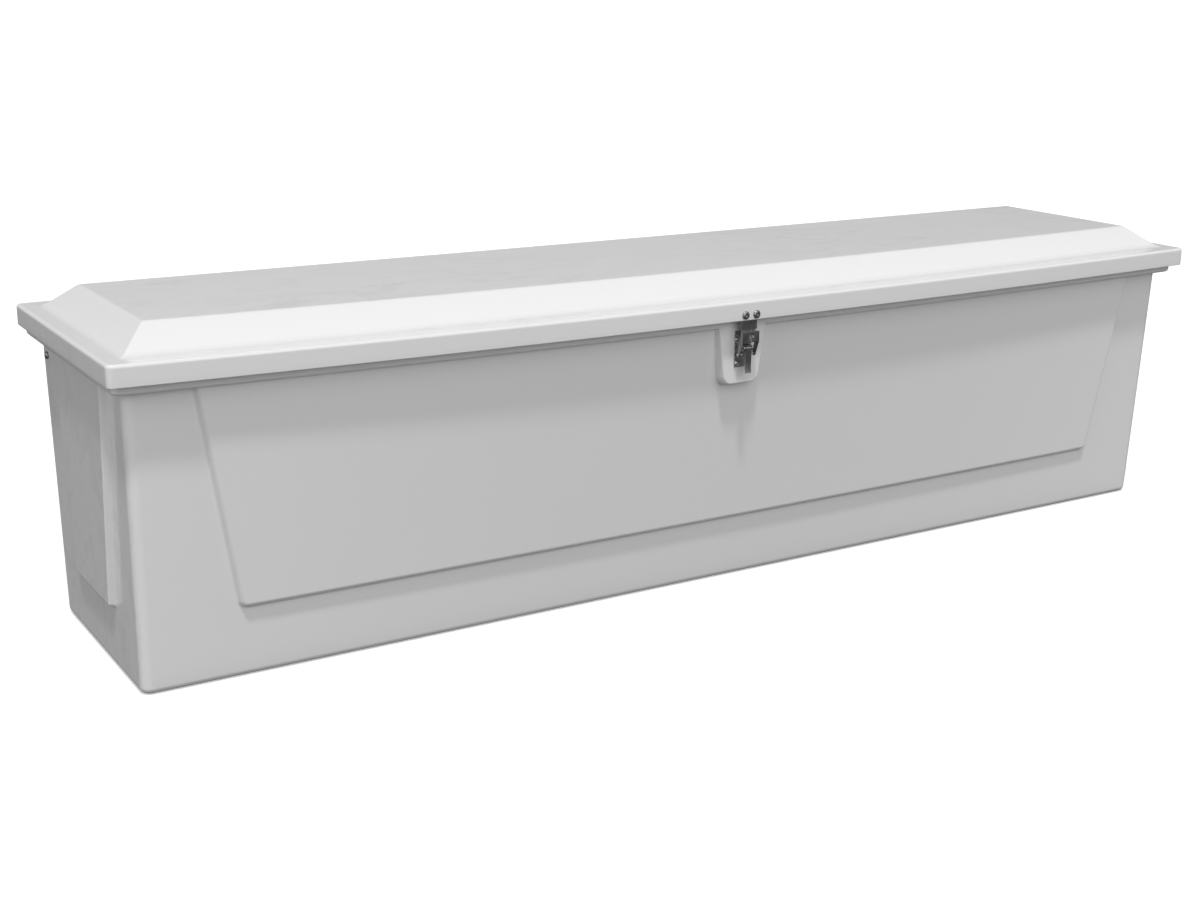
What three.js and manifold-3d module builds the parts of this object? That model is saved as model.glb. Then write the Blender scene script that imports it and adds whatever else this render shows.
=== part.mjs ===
// Fibreglass dock box: a long storage chest with a hinged lid, two gas struts and a draw latch.
// Millimetres, +Z up, +X along the box, the latch side faces -Y. The origin is on the ground
// under the middle of the bounding box.
import * as THREE from 'three';
import { mergeVertices } from 'three/addons/utils/BufferGeometryUtils.js';
import Module from 'manifold-3d';

const wasm = await Module();
wasm.setup();

// ---------------------------------------------------------------- driving dimensions
const GAP = 0.3; // between pieces that touch
const WALL = 5; // laminate thickness
const DEPTH_CENTRE = 263; // middle of the depth, measured back from the lid's front corners

const LID_LENGTH = 2438; // the 8 ft class
const LID_DEPTH = 566.8;
const LID_BOTTOM = 545;
const LID_RIM = 583;
const LID_TOP = 626;
const LID_CROWN = 40; // the front edge bows out this much at mid length
const LID_CORNER = 11;
const LID_EDGE = 6;
const BEVEL_BASE = { end: 38, front: 45, back: 43 };
const BEVEL_TOP = { end: 90, front: 108, back: 95 };

const TUB = {
  halfBase: 1178, halfTop: 1185, frontBase: 60.8, frontTop: 42.5, backBase: 523, backTop: 541,
  top: 527, corner: 18, foot: 12, crown: 36,
};
const RIM_OUT = 22; // the rim steps out this far from the front and end walls
const RIM_TOP = 568;
const RIM_BACK = 558;
const RIM_CORNER = 12;
const RIM_INWARD = 25; // width of the rim's top flange
const HINGE_LEDGE = { half: 1192, front: 553, bottom: 515, top: 543.5 };
const CROWN_FADE = 110; // behind this depth the crown fades out towards the back

const FRONT_PANEL = { bottom: 127, halfBottom: 1008, halfTop: 1076, proud: 11, bevel: 7 };
const END_PANEL = {
  bottom: 118, bottomFront: 180, bottomBack: 392, topFront: 127, topBack: 418, proud: 12, bevel: 5,
};

const LATCH_X = -22;
const PAD = { bottom: 418, topWidth: 109, bottomWidth: 76, corner: 14, draft: 9 };
const PAD_FACE = TUB.frontTop - RIM_OUT - TUB.crown + 0.3; // Y of the latch pad's face

const HINGE = {
  y: 571.5, z: 544.6, radius: 4.2, leaf: 20, thick: 1.5, half: 1150, knuckles: 23, pin: 1.8,
  notch: 0.6, // extra room round the other leaf's knuckles
};

const STRUT = {
  x: 1152, lower: { y: 341.5, z: 334.6 }, upper: { y: 481.5, z: 544.6 },
  tube: 9, rod: 4, tubeStart: 16, tubeLength: 160, eye: 8, pin: 3.2,
};

const SEGMENTS = 24; // along the bowed front
const ROUND = 12; // sides of a small round piece

// ---------------------------------------------------------------- solids
function toSolid(geometry) {
  const bare = geometry.index ? geometry.toNonIndexed() : geometry.clone();
  bare.deleteAttribute('normal');
  bare.deleteAttribute('uv');
  const merged = mergeVertices(bare, 1e-4);
  const mesh = new wasm.Mesh({
    numProp: 3,
    vertProperties: new Float32Array(merged.attributes.position.array),
    triVerts: new Uint32Array(merged.index.array),
  });
  mesh.merge();
  return new wasm.Manifold(mesh);
}

function toGeometry(solid) {
  const mesh = solid.getMesh();
  const geometry = new THREE.BufferGeometry();
  geometry.setAttribute('position', new THREE.BufferAttribute(new Float32Array(mesh.vertProperties), 3));
  geometry.setIndex(new THREE.BufferAttribute(new Uint32Array(mesh.triVerts), 1));
  const shaded = geometry.toNonIndexed();
  shaded.computeVertexNormals();
  return shaded;
}

const join = (...geometries) => geometries.map(toSolid).reduce((all, next) => all.add(next));

function cutAway(solid, ...geometries) {
  return geometries.map(toSolid).reduce((all, next) => all.subtract(next), solid);
}

function movePoints(geometry, move) {
  const points = geometry.attributes.position;
  const p = new THREE.Vector3();
  for (let i = 0; i < points.count; i += 1) {
    move(p.fromBufferAttribute(points, i));
    points.setXYZ(i, p.x, p.y, p.z);
  }
  return geometry;
}

function boxBetween(x0, x1, y0, y1, z0, z1) {
  const box = new THREE.BoxGeometry(x1 - x0, y1 - y0, z1 - z0);
  return box.translate((x0 + x1) / 2, (y0 + y1) / 2, (z0 + z1) / 2);
}

// A cylinder along one axis, from the point given, to `length` further along it.
function rodAlong(axis, radius, length, start, sides = ROUND) {
  const rod = new THREE.CylinderGeometry(radius, radius, length, sides).translate(0, length / 2, 0);
  return aim(rod, axis).translate(start.x, start.y, start.z);
}

// Turns a shape made along +Y so that it lies along the axis given.
function aim(geometry, axis) {
  const turn = new THREE.Quaternion().setFromUnitVectors(new THREE.Vector3(0, 1, 0), axis);
  return geometry.applyQuaternion(turn);
}

const X_AXIS = new THREE.Vector3(1, 0, 0);
const Y_AXIS = new THREE.Vector3(0, 1, 0);
const at = (x, y, z) => new THREE.Vector3(x, y, z);

// ---------------------------------------------------------------- moulded slabs
const plan = (halfLength, front, back, corner) => ({ halfLength, front, back, corner });

const inset = (p, by) => plan(p.halfLength - by, p.front + by, p.back - by, Math.max(p.corner - by, 1));

function planShape(p) {
  const shape = new THREE.Shape();
  const { halfLength: h, front, back, corner: r } = p;
  shape.moveTo(-h + r, front);
  for (let i = 1; i <= SEGMENTS; i += 1) {
    shape.lineTo((h - r) * (2 * i / SEGMENTS - 1), front);
  }
  shape.absarc(h - r, front + r, r, -Math.PI / 2, 0, false);
  shape.lineTo(h, back - r);
  shape.absarc(h - r, back - r, r, 0, Math.PI / 2, false);
  shape.lineTo(-h + r, back);
  shape.absarc(-h + r, back - r, r, Math.PI / 2, Math.PI, false);
  shape.lineTo(-h, front + r);
  shape.absarc(-h + r, front + r, r, Math.PI, Math.PI * 1.5, false);
  return shape;
}

// A rounded slab whose outline moves in by `inset` at each level: profile = [[z, inset], ...].
function slab(p, profile) {
  const steps = profile.length - 1;
  const settings = { depth: steps, steps, bevelEnabled: false, curveSegments: 4 };
  const body = new THREE.ExtrudeGeometry(planShape(p), settings);
  return movePoints(body, (v) => {
    const [z, by] = profile[Math.round(v.z)];
    const coreX = THREE.MathUtils.clamp(v.x, -p.halfLength + p.corner, p.halfLength - p.corner);
    const coreY = THREE.MathUtils.clamp(v.y, p.front + p.corner, p.back - p.corner);
    const out = new THREE.Vector2(v.x - coreX, v.y - coreY).normalize();
    v.set(v.x - out.x * by, v.y - out.y * by, z);
  });
}

// How strongly the front's bow acts at a depth: fully at the front, not at all at the back.
const crownWeight = (y, back) => THREE.MathUtils.clamp((back - y) / (back - CROWN_FADE), 0, 1);

function bow(geometry, crown, halfLength, back) {
  return movePoints(geometry, (v) => {
    v.y -= crown * (1 - (v.x / halfLength) ** 2) * crownWeight(v.y, back);
  });
}

// The tub's draft: narrower at the foot, and the front's bow grows from nothing at the foot.
const lift = (z) => THREE.MathUtils.clamp(z / TUB.top, 0, 1);
const wallHalf = (z) => THREE.MathUtils.lerp(TUB.halfBase, TUB.halfTop, lift(z));
const wallBack = (z) => THREE.MathUtils.lerp(TUB.backBase, TUB.backTop, lift(z));
const wallFront = (x, z) => THREE.MathUtils.lerp(TUB.frontBase, TUB.frontTop, lift(z))
  - TUB.crown * lift(z) * (1 - (x / TUB.halfTop) ** 2);

function draftTub(geometry) {
  return movePoints(geometry, (v) => {
    const t = lift(v.z);
    const fromFront = (v.y - TUB.frontTop) / (TUB.backTop - TUB.frontTop);
    const atFoot = THREE.MathUtils.lerp(TUB.frontBase - TUB.frontTop, TUB.backBase - TUB.backTop, fromFront);
    const drop = atFoot * (1 - t);
    const bowed = TUB.crown * t * (1 - (v.x / TUB.halfTop) ** 2) * crownWeight(v.y, TUB.backTop);
    v.x -= Math.sign(v.x) * (TUB.halfTop - TUB.halfBase) * (1 - t);
    v.y += drop - bowed;
  });
}

function footProfile(radius, bottom, top) {
  const levels = [];
  for (let i = 0; i <= 3; i += 1) {
    const angle = i * Math.PI / 6;
    levels.push([bottom + radius * (1 - Math.cos(angle)), radius * (1 - Math.sin(angle))]);
  }
  for (let i = 1; i <= 4; i += 1) {
    levels.push([THREE.MathUtils.lerp(bottom + radius, top, i / 4), 0]);
  }
  return levels;
}

// ---------------------------------------------------------------- tub
const tubPlan = plan(TUB.halfTop, TUB.frontTop, TUB.backTop, TUB.corner);
const rimPlan = plan(TUB.halfTop + RIM_OUT, TUB.frontTop - RIM_OUT, RIM_BACK, RIM_CORNER);
const rimBow = (geometry) => bow(geometry, TUB.crown, TUB.halfTop, TUB.backTop);

// How far a panel's point stands in front of the wall: on its face, at the wall, or inside the body.
function standOff(depthwards, proud, sunk) {
  if (depthwards > 0.5) {
    return proud;
  }
  return depthwards < -0.5 ? -sunk : 0;
}

const PANEL_ROOT = 2; // the panels start this far inside the wall
const PANEL_TOP = TUB.top + 2;

// The front's raised panel: a trapezoid that widens upwards, with sloping sides.
// `thin` moves its surface inwards, to hollow it from behind.
function frontPanel(thin) {
  const panel = new THREE.BoxGeometry(2, 2, 1, SEGMENTS, 2, 4).translate(0, 0, 0.5);
  return movePoints(panel, (v) => {
    const z = THREE.MathUtils.lerp(FRONT_PANEL.bottom + thin, PANEL_TOP - thin, v.z);
    const bevel = v.y < -0.5 ? FRONT_PANEL.bevel : 0;
    const spread = THREE.MathUtils.lerp(FRONT_PANEL.halfBottom, FRONT_PANEL.halfTop, v.z) - thin;
    const x = v.x * (spread - bevel);
    const out = standOff(-v.y, FRONT_PANEL.proud, PANEL_ROOT) - thin;
    v.set(x, wallFront(x, z) - out, v.z === 0 ? z + bevel : z);
  });
}

function endPanel(side) {
  const panel = new THREE.BoxGeometry(2, 2, 1, 2, 2, 4).translate(0, 0, 0.5);
  return movePoints(panel, (v) => {
    const z = THREE.MathUtils.lerp(END_PANEL.bottom, PANEL_TOP, v.z);
    const bevel = v.x * side > 0.5 ? END_PANEL.bevel : 0;
    const front = THREE.MathUtils.lerp(END_PANEL.bottomFront, END_PANEL.topFront, v.z) + bevel;
    const back = THREE.MathUtils.lerp(END_PANEL.bottomBack, END_PANEL.topBack, v.z) - bevel;
    const out = standOff(v.x * side, END_PANEL.proud, PANEL_ROOT);
    const y = THREE.MathUtils.lerp(front, back, (v.y + 1) / 2);
    v.set(side * (wallHalf(z) + out), y, v.z === 0 ? z + bevel : z);
  });
}

// The latch pad: a shield shape with rounded lower corners and an upright face.
function padOutline() {
  const halfTop = PAD.topWidth / 2;
  const halfBottom = PAD.bottomWidth / 2;
  const { bottom } = PAD;
  const shape = new THREE.Shape();
  const taper = 3; // the sides still lean at the top of the lower corners
  shape.moveTo(-halfTop, PANEL_TOP);
  shape.lineTo(-halfBottom - taper, bottom + PAD.corner);
  shape.quadraticCurveTo(-halfBottom, bottom, -halfBottom + PAD.corner, bottom);
  shape.lineTo(halfBottom - PAD.corner, bottom);
  shape.quadraticCurveTo(halfBottom, bottom, halfBottom + taper, bottom + PAD.corner);
  shape.lineTo(halfTop, PANEL_TOP);
  return shape;
}

function latchPad() {
  const body = new THREE.ExtrudeGeometry(padOutline(), { depth: 1, bevelEnabled: false, curveSegments: 4 });
  const reach = TUB.frontTop - PAD_FACE; // from the pad's face back into the wall
  return flipFaces(movePoints(body, (v) => {
    const grow = v.z > 0.5 ? PAD.draft : 0;
    const centre = (PAD.bottom + TUB.top) / 2;
    const x = v.x + Math.sign(v.x) * grow;
    const z = v.y < centre ? v.y - grow : v.y;
    v.set(LATCH_X + x, PAD_FACE + (v.z > 0.5 ? reach : 0), z);
  }));
}

const RIM_EDGE = { radius: 6, sag: 1.8 }; // the rounding of the rim's lower outer edge

function rimShell() {
  const floor = TUB.top + WALL;
  const ceiling = RIM_TOP - WALL;
  const { radius, sag } = RIM_EDGE;
  const edge = [[TUB.top, radius], [TUB.top + sag, sag], [TUB.top + radius, 0]];
  const outer = rimBow(slab(rimPlan, [...edge, [RIM_TOP, 0]]));
  const hollow = rimBow(slab(inset(rimPlan, WALL), [[floor, 1.5], [floor + 4, 0], [ceiling, 0]]));
  const mouth = rimBow(slab(inset(rimPlan, RIM_INWARD), [[ceiling - 2, 0], [RIM_TOP + 2, 0]]));
  return { outer, hollow, mouth };
}

function hingeLedge() {
  const { half, front, bottom, top } = HINGE_LEDGE;
  return boxBetween(-half, half, front, LID_DEPTH, bottom, top);
}

function makeTub() {
  const rim = rimShell();
  const outer = draftTub(slab(tubPlan, footProfile(TUB.foot, 0, TUB.top + 3)));
  const room = footProfile(TUB.foot - WALL, WALL + 1, TUB.top + WALL + 1);
  const inner = draftTub(slab(inset(tubPlan, WALL), room));
  const raised = [frontPanel(0), endPanel(-1), endPanel(1), latchPad()];
  const body = join(outer, ...raised, rim.outer, hingeLedge());
  const holes = [inner, frontPanel(WALL), rim.hollow, rim.mouth];
  const brackets = [tubBracketScrewPlaces(-1), tubBracketScrewPlaces(1)];
  const places = [baseScrewPlaces(), hingeScrewPlaces(-1), ...brackets];
  const bores = places.flat().map((place) => boreFor(place));
  const bolts = [-1, 1].map((side) => boltBore(side * TUB.halfTop, 30));
  return cutAway(body, ...holes, ...bores, ...bolts);
}

// A soft bulb gasket that runs round the rim's top flange, between two insets from the rim's face.
const SEAL = { outer: 8, inner: 20, taper: 1.5 };

function makeSeal() {
  const { outer, inner, taper } = SEAL;
  const bulb = rimBow(slab(inset(rimPlan, outer), [[RIM_TOP + GAP, 0], [LID_RIM - WALL - GAP, taper]]));
  const middle = rimBow(slab(inset(rimPlan, inner), [[RIM_TOP - 1, 0], [LID_RIM, 0]]));
  return cutAway(toSolid(bulb), middle);
}

// ---------------------------------------------------------------- stiffener and its end bolts
const BOLT = { y: 500, z: 497, radius: 4, head: 7, headHeight: 4.5 };
const RAIL = { half: 1169, front: 488, back: 533, bottom: 474, top: 518 };

function makeRail() {
  const { half, front, back, bottom, top } = RAIL;
  const rail = toSolid(boxBetween(-half, half, front, back, bottom, top));
  return cutAway(rail, boltBore(-half, 70), boltBore(half, 70));
}

// A bore for an end bolt, with its middle at the place given along X.
function boltBore(x, length) {
  return rodAlong(X_AXIS, BOLT.radius + GAP, length, at(x - length / 2, BOLT.y, BOLT.z));
}

// A fastener with a domed head, turned about its axis: the shank goes down from the origin.
function fastener({ radius, length, head, height }) {
  const shank = [[0, -length], [radius, -length], [radius, 0]];
  const dome = [[head, 0], [head, height * 0.35], [head * 0.72, height * 0.85], [0, height]];
  return new THREE.LatheGeometry([...shank, ...dome].map(([x, y]) => new THREE.Vector2(x, y)), ROUND);
}

function placeFastener(kind, place) {
  const body = aim(fastener(kind), place.axis);
  const { point } = place;
  return toSolid(body.translate(point.x, point.y, point.z));
}

function boreFor(place) {
  const start = place.point.clone().addScaledVector(place.axis, -place.kind.length - 0.6);
  return rodAlong(place.axis, place.kind.radius + GAP, place.kind.length + 6, start);
}

const END_BOLT = { radius: BOLT.radius, length: 34, head: BOLT.head, height: BOLT.headHeight };

function endBoltPlace(side) {
  const x = side * (wallHalf(BOLT.z) + GAP + 0.1);
  return { kind: END_BOLT, axis: at(side, 0, 0), point: at(x, BOLT.y, BOLT.z) };
}

// ---------------------------------------------------------------- lid
const lidPlan = plan(LID_LENGTH / 2, 0, LID_DEPTH, LID_CORNER);
const lidBow = (geometry) => bow(geometry, LID_CROWN, LID_LENGTH / 2, LID_DEPTH);

// Half length, front and back of the raised top at a height, moved in by `thin` square to its faces.
function raisedPlan(z, thin) {
  const rise = LID_TOP - LID_RIM;
  const edge = (name) => {
    const run = BEVEL_TOP[name] - BEVEL_BASE[name];
    const slant = Math.hypot(run, rise) / rise;
    return BEVEL_BASE[name] + run * (z - LID_RIM) / rise + thin * slant;
  };
  return { half: LID_LENGTH / 2 - edge('end'), front: edge('front'), back: LID_DEPTH - edge('back') };
}

function raisedTop(z0, z1, thin) {
  const block = new THREE.BoxGeometry(2, 1, 1, SEGMENTS, 3, 1).translate(0, 0.5, 0.5);
  return lidBow(movePoints(block, (v) => {
    const z = v.z < 0.5 ? z0 : z1;
    const r = raisedPlan(z, thin);
    v.set(v.x * r.half, THREE.MathUtils.lerp(r.front, r.back, v.y), z);
  }));
}

function makeLid() {
  const edge = LID_EDGE;
  const skirt = lidBow(slab(lidPlan, [
    [LID_BOTTOM, 0], [LID_RIM - edge, 0], [LID_RIM - edge * 0.3, edge * 0.3], [LID_RIM, edge],
  ]));
  const under = LID_RIM - WALL;
  const hollow = lidBow(slab(inset(lidPlan, WALL), [[LID_BOTTOM - 5, 0], [under - 2, 0], [under, 2]]));
  const body = join(skirt, raisedTop(LID_RIM - 3, LID_TOP, 0));
  const bores = [...keeperScrewPlaces(), ...hingeScrewPlaces(1)].map((place) => boreFor(place));
  return cutAway(body, hollow, raisedTop(LID_RIM - WALL - 4, LID_TOP - WALL, WALL), ...bores);
}

// Stringers bonded across the underside of the lid's raised top.
const STRINGER = {
  width: 60, height: 24, places: [-720, 0, 720],
  frontGap: 8, frontToe: 34, backGap: 10, backToe: 40, // from the raised top's inner faces
};

function makeStringer(x) {
  const top = LID_TOP - WALL - GAP;
  const low = raisedPlan(top - STRINGER.height, WALL + 1);
  const high = raisedPlan(top, WALL + 1);
  const bowAt = LID_CROWN * (1 - (x / (LID_LENGTH / 2)) ** 2);
  const front = high.front - bowAt;
  const middle = top - STRINGER.height / 2;
  const bottom = top - STRINGER.height;
  const shape = new THREE.Shape();
  shape.moveTo(front + STRINGER.frontGap, top);
  shape.lineTo(front + STRINGER.frontGap, middle);
  shape.lineTo(front + STRINGER.frontToe, bottom);
  shape.lineTo(low.back - STRINGER.backToe, bottom);
  shape.lineTo(high.back - STRINGER.backGap, middle);
  shape.lineTo(high.back - STRINGER.backGap, top);
  return toSolid(acrossX(shape, STRINGER.width).translate(x, 0, 0));
}

// An outline drawn in (Y, Z), extruded along X and centred on X = 0.
function acrossX(shape, width) {
  const body = new THREE.ExtrudeGeometry(shape, { depth: width, bevelEnabled: false, curveSegments: 6 });
  return movePoints(body, (v) => v.set(v.z - width / 2, v.x, v.y));
}

// ---------------------------------------------------------------- piano hinge
const HINGE_SCREW = { radius: 2, length: 7, head: 4, height: 2 };
const HINGE_SCREW_ROW = { count: 6, half: 1081, fromPin: 13.4 };

function hingeScrewPlaces(side) {
  const y = HINGE.y - HINGE.radius + HINGE.thick + GAP;
  const { count, half, fromPin } = HINGE_SCREW_ROW;
  const places = [];
  for (let i = 0; i < count; i += 1) {
    const x = half * (2 * i / (count - 1) - 1);
    places.push({ kind: HINGE_SCREW, axis: Y_AXIS, point: at(x, y, HINGE.z + side * fromPin) });
  }
  return places;
}

const knucklePitch = 2 * HINGE.half / HINGE.knuckles;
const knuckleStart = (i) => -HINGE.half + i * knucklePitch;

function knuckle(i) {
  const start = at(knuckleStart(i) + GAP, HINGE.y, HINGE.z);
  return toSolid(rodAlong(X_AXIS, HINGE.radius, knucklePitch - 2 * GAP, start, 10));
}

function knuckleNotch(i) {
  const size = HINGE.radius + HINGE.notch;
  const start = knuckleStart(i) - GAP;
  const end = knuckleStart(i + 1) + GAP;
  const front = HINGE.y - HINGE.radius - 1;
  return boxBetween(start, end, front, HINGE.y + size, HINGE.z - size, HINGE.z + size);
}

// side is +1 for the leaf that rises up the lid and -1 for the one that hangs down the tub.
function makeLeaf(side) {
  const front = HINGE.y - HINGE.radius;
  const heights = [HINGE.z, HINGE.z + side * HINGE.leaf].sort((a, b) => a - b);
  const sheet = boxBetween(-HINGE.half, HINGE.half, front, front + HINGE.thick, ...heights);
  const order = [...Array(HINGE.knuckles).keys()];
  const own = order.filter((i) => (i % 2 === 0) === (side < 0));
  const notches = order.filter((i) => !own.includes(i)).map(knuckleNotch);
  const screws = hingeScrewPlaces(side).map((place) => boreFor(place));
  const plate = cutAway(toSolid(sheet), ...notches, ...screws);
  const leaf = own.map(knuckle).reduce((all, next) => all.add(next), plate);
  return cutAway(leaf, hingePinRod(HINGE.pin + GAP, HINGE.half + 10));
}

function hingePinRod(radius, half) {
  return rodAlong(X_AXIS, radius, 2 * half, at(-half, HINGE.y, HINGE.z), 8);
}

const makeHingePin = () => toSolid(hingePinRod(HINGE.pin, HINGE.half + 2));

// ---------------------------------------------------------------- draw latch
// Latch outlines are drawn in (out, z): how far out from the pad's face, and the height.
const LATCH = {
  leverPivot: { out: 17, z: 490 }, bailPivot: { out: 13.8, z: 478.1 },
  pin: 2.2, earIn: 8, earOut: 10.2, leverHalf: 6.5, bailHalf: 19, bailSheet: 2.2,
  plate: { half: 19, bottom: 452, top: 522, thick: 2 },
};
const PIN_HEAD = { rim: 1.3, thick: 1.6, lap: 0.2 }; // the lap is how far a head overlaps its pin
const EAR = { below: 5, above: 9 };
const LEVER = {
  top: 5.4, bottom: 4.6, waist: { out: 9, z: 478 }, neck: 474,
  back: 18.6, front: 21.4, bend: 452, tip: { in: 20.6, out: 23, z: 443 }, heel: 470,
};
const KEEPER = {
  half: 19, back: 17, sheet: 2.2, shelfEnd: 24.5, shelf: 517.6, shelfSheet: 2.2, top: 572, slotHalf: 3,
};
const BAIL = {
  webIn: 25.3, webOut: 27.5, top: 523, flangeIn: 20, flangeDrop: 6, webBottom: 503, eye: 4.4,
  window: { half: 4, bottom: 505.4, top: 520 },
};

const circle = (centre, radius) => {
  const path = new THREE.Path();
  path.absarc(centre.out, centre.z, radius, 0, Math.PI * 2, true);
  return path;
};

// An outline in (out, z) becomes a sheet between two places along X, measured from the latch's middle.
function latchSheet(shape, x0, x1) {
  const body = new THREE.ExtrudeGeometry(shape, { depth: x1 - x0, bevelEnabled: false, curveSegments: 6 });
  const mirrored = movePoints(body, (v) => v.set(LATCH_X + x0 + v.z, PAD_FACE - v.x, v.y));
  return flipFaces(mirrored);
}

function flipFaces(geometry) {
  const points = geometry.attributes.position;
  const a = new THREE.Vector3();
  const b = new THREE.Vector3();
  for (let i = 0; i < points.count; i += 3) {
    a.fromBufferAttribute(points, i);
    b.fromBufferAttribute(points, i + 1);
    points.setXYZ(i, b.x, b.y, b.z);
    points.setXYZ(i + 1, a.x, a.y, a.z);
  }
  return geometry;
}

function latchBox(x0, x1, out0, out1, z0, z1) {
  return boxBetween(LATCH_X + x0, LATCH_X + x1, PAD_FACE - out1, PAD_FACE - out0, z0, z1);
}

const BASE_SCREW = { radius: 2.2, length: 12, head: 4, height: 2.2 };
const BASE_SCREW_ROWS = { half: 14, heights: [459, 505] };

function baseScrewPlaces() {
  const places = [];
  const y = PAD_FACE - GAP - LATCH.plate.thick - GAP;
  for (const z of BASE_SCREW_ROWS.heights) {
    for (const x of [-BASE_SCREW_ROWS.half, BASE_SCREW_ROWS.half]) {
      places.push({ kind: BASE_SCREW, axis: at(0, -1, 0), point: at(LATCH_X + x, y, z) });
    }
  }
  return places;
}

function earShape() {
  const { out, z } = LATCH.leverPivot;
  const shape = new THREE.Shape();
  shape.moveTo(1, z - EAR.below);
  shape.lineTo(out, z - EAR.below);
  shape.absarc(out, z, EAR.below, -Math.PI / 2, Math.PI / 2, false);
  shape.lineTo(1, z + EAR.above);
  shape.holes.push(circle(LATCH.leverPivot, LATCH.pin + GAP));
  return shape;
}

// The eye that stands out through the bail's window and takes a padlock.
const EYE = { bottom: 509, tipOut: 29.8, tipRadius: 4.6, halfSheet: 1.2, hole: 2.2, holeOut: 31 };

function padlockEye() {
  const middle = EYE.bottom + EYE.tipRadius;
  const shape = new THREE.Shape();
  shape.moveTo(1, EYE.bottom);
  shape.lineTo(EYE.tipOut, EYE.bottom);
  shape.absarc(EYE.tipOut, middle, EYE.tipRadius, -Math.PI / 2, Math.PI / 2, false);
  shape.lineTo(1, middle + EYE.tipRadius);
  shape.holes.push(circle({ out: EYE.holeOut, z: middle }, EYE.hole));
  return latchSheet(shape, -EYE.halfSheet, EYE.halfSheet);
}

function makeLatchBase() {
  const { plate } = LATCH;
  const sheet = latchBox(-plate.half, plate.half, GAP, plate.thick + GAP, plate.bottom, plate.top);
  const ears = [-1, 1].map((side) => {
    const edges = [side * LATCH.earIn, side * LATCH.earOut].sort((a, b) => a - b);
    return latchSheet(earShape(), edges[0], edges[1]);
  });
  const body = join(sheet, ...ears, padlockEye());
  return cutAway(body, ...baseScrewPlaces().map((place) => boreFor(place)));
}

function latchPin(centre, half) {
  const start = (x) => at(LATCH_X + x, PAD_FACE - centre.out, centre.z);
  const stem = rodAlong(X_AXIS, LATCH.pin, 2 * half, start(-half));
  const { rim, thick, lap } = PIN_HEAD;
  const heads = [-half + lap - thick, half - lap].map((x) => (
    rodAlong(X_AXIS, LATCH.pin + rim, thick, start(x))
  ));
  return join(stem, ...heads);
}

// The lever hangs down the pad; its tip turns out as a finger lift.
function makeLever() {
  const { out, z } = LATCH.leverPivot;
  const lower = LATCH.bailPivot;
  const { waist, tip } = LEVER;
  const shape = new THREE.Shape();
  shape.moveTo(out + LEVER.top, z);
  shape.absarc(out, z, LEVER.top, 0, Math.PI, false);
  shape.lineTo(waist.out, waist.z);
  shape.absarc(lower.out, lower.z, LEVER.bottom, Math.PI, Math.PI * 1.6, false);
  shape.lineTo(LEVER.back, LEVER.heel);
  shape.lineTo(LEVER.back, LEVER.bend);
  shape.lineTo(tip.in, tip.z);
  shape.lineTo(tip.out, tip.z);
  shape.lineTo(LEVER.front, LEVER.bend);
  shape.lineTo(LEVER.front, LEVER.neck);
  shape.holes.push(circle(LATCH.leverPivot, LATCH.pin + GAP));
  shape.holes.push(circle(LATCH.bailPivot, LATCH.pin + GAP));
  return toSolid(latchSheet(shape, -LATCH.leverHalf, LATCH.leverHalf));
}

function bailLeg() {
  const { out, z } = LATCH.bailPivot;
  const shape = new THREE.Shape();
  shape.moveTo(out - BAIL.eye, z);
  shape.absarc(out, z, BAIL.eye, Math.PI, Math.PI * 2, false);
  shape.lineTo(BAIL.webOut, BAIL.webBottom);
  shape.lineTo(BAIL.webOut, BAIL.top);
  shape.lineTo(BAIL.flangeIn, BAIL.top);
  shape.lineTo(BAIL.flangeIn, BAIL.top - BAIL.flangeDrop);
  shape.holes.push(circle(LATCH.bailPivot, LATCH.pin + GAP));
  return shape;
}

// The draw link: a folded plate with two side legs, a window for the padlock eye and a turned-in top.
function makeBail() {
  const { bailHalf: half, bailSheet: sheet } = LATCH;
  const { webIn, webOut, webBottom, top } = BAIL;
  const { half: windowHalf, bottom, top: windowTop } = BAIL.window;
  const legs = [[-half, -half + sheet], [half - sheet, half]];
  const sides = legs.map(([x0, x1]) => latchSheet(bailLeg(), x0, x1));
  const web = latchBox(-half, half, webIn, webOut, webBottom, top);
  const flange = latchBox(-half, half, BAIL.flangeIn, webOut, top - sheet, top);
  const window = latchBox(-windowHalf, windowHalf, webIn - 2, webOut + 2, bottom, windowTop);
  return cutAway(join(...sides, web, flange), window);
}

// The keeper hangs from its screws in front of the rim, and the bail hooks under its shelf.
function makeKeeper() {
  const { half, back, sheet, shelfEnd, shelf, shelfSheet, slotHalf } = KEEPER;
  const narrow = half - LATCH.bailSheet - 0.8; // the shelf stands between the bail's legs
  const wall = latchBox(-half, half, back, back + sheet, BAIL.top + 3, KEEPER.top);
  const neck = latchBox(-narrow, narrow, back, back + sheet, shelf, BAIL.top + 4);
  const hook = latchBox(-narrow, narrow, back, shelfEnd, shelf, shelf + shelfSheet);
  const slot = latchBox(-slotHalf, slotHalf, back - 2, shelfEnd + 2, shelf - 3, shelf + 3.4);
  const screws = keeperScrewPlaces().map((place) => boreFor(place));
  return cutAway(join(wall, neck, hook), slot, ...screws);
}

const LID_FACE = LID_CROWN; // at the latch the lid's front face stands this far in front of its corners
const KEEPER_SCREW = { radius: 2.5, length: 13, head: 7.8, height: 3.6 };
const KEEPER_SCREW_ROW = { half: 12.5, z: 555.5 };
const KEEPER_NUT = { radius: 4.8, thick: 4 };

function keeperScrewPlaces() {
  const { half, z } = KEEPER_SCREW_ROW;
  return [-half, half].map((x) => ({
    kind: KEEPER_SCREW, axis: at(0, -1, 0), point: at(LATCH_X + x, -LID_FACE - GAP, z),
  }));
}

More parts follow.
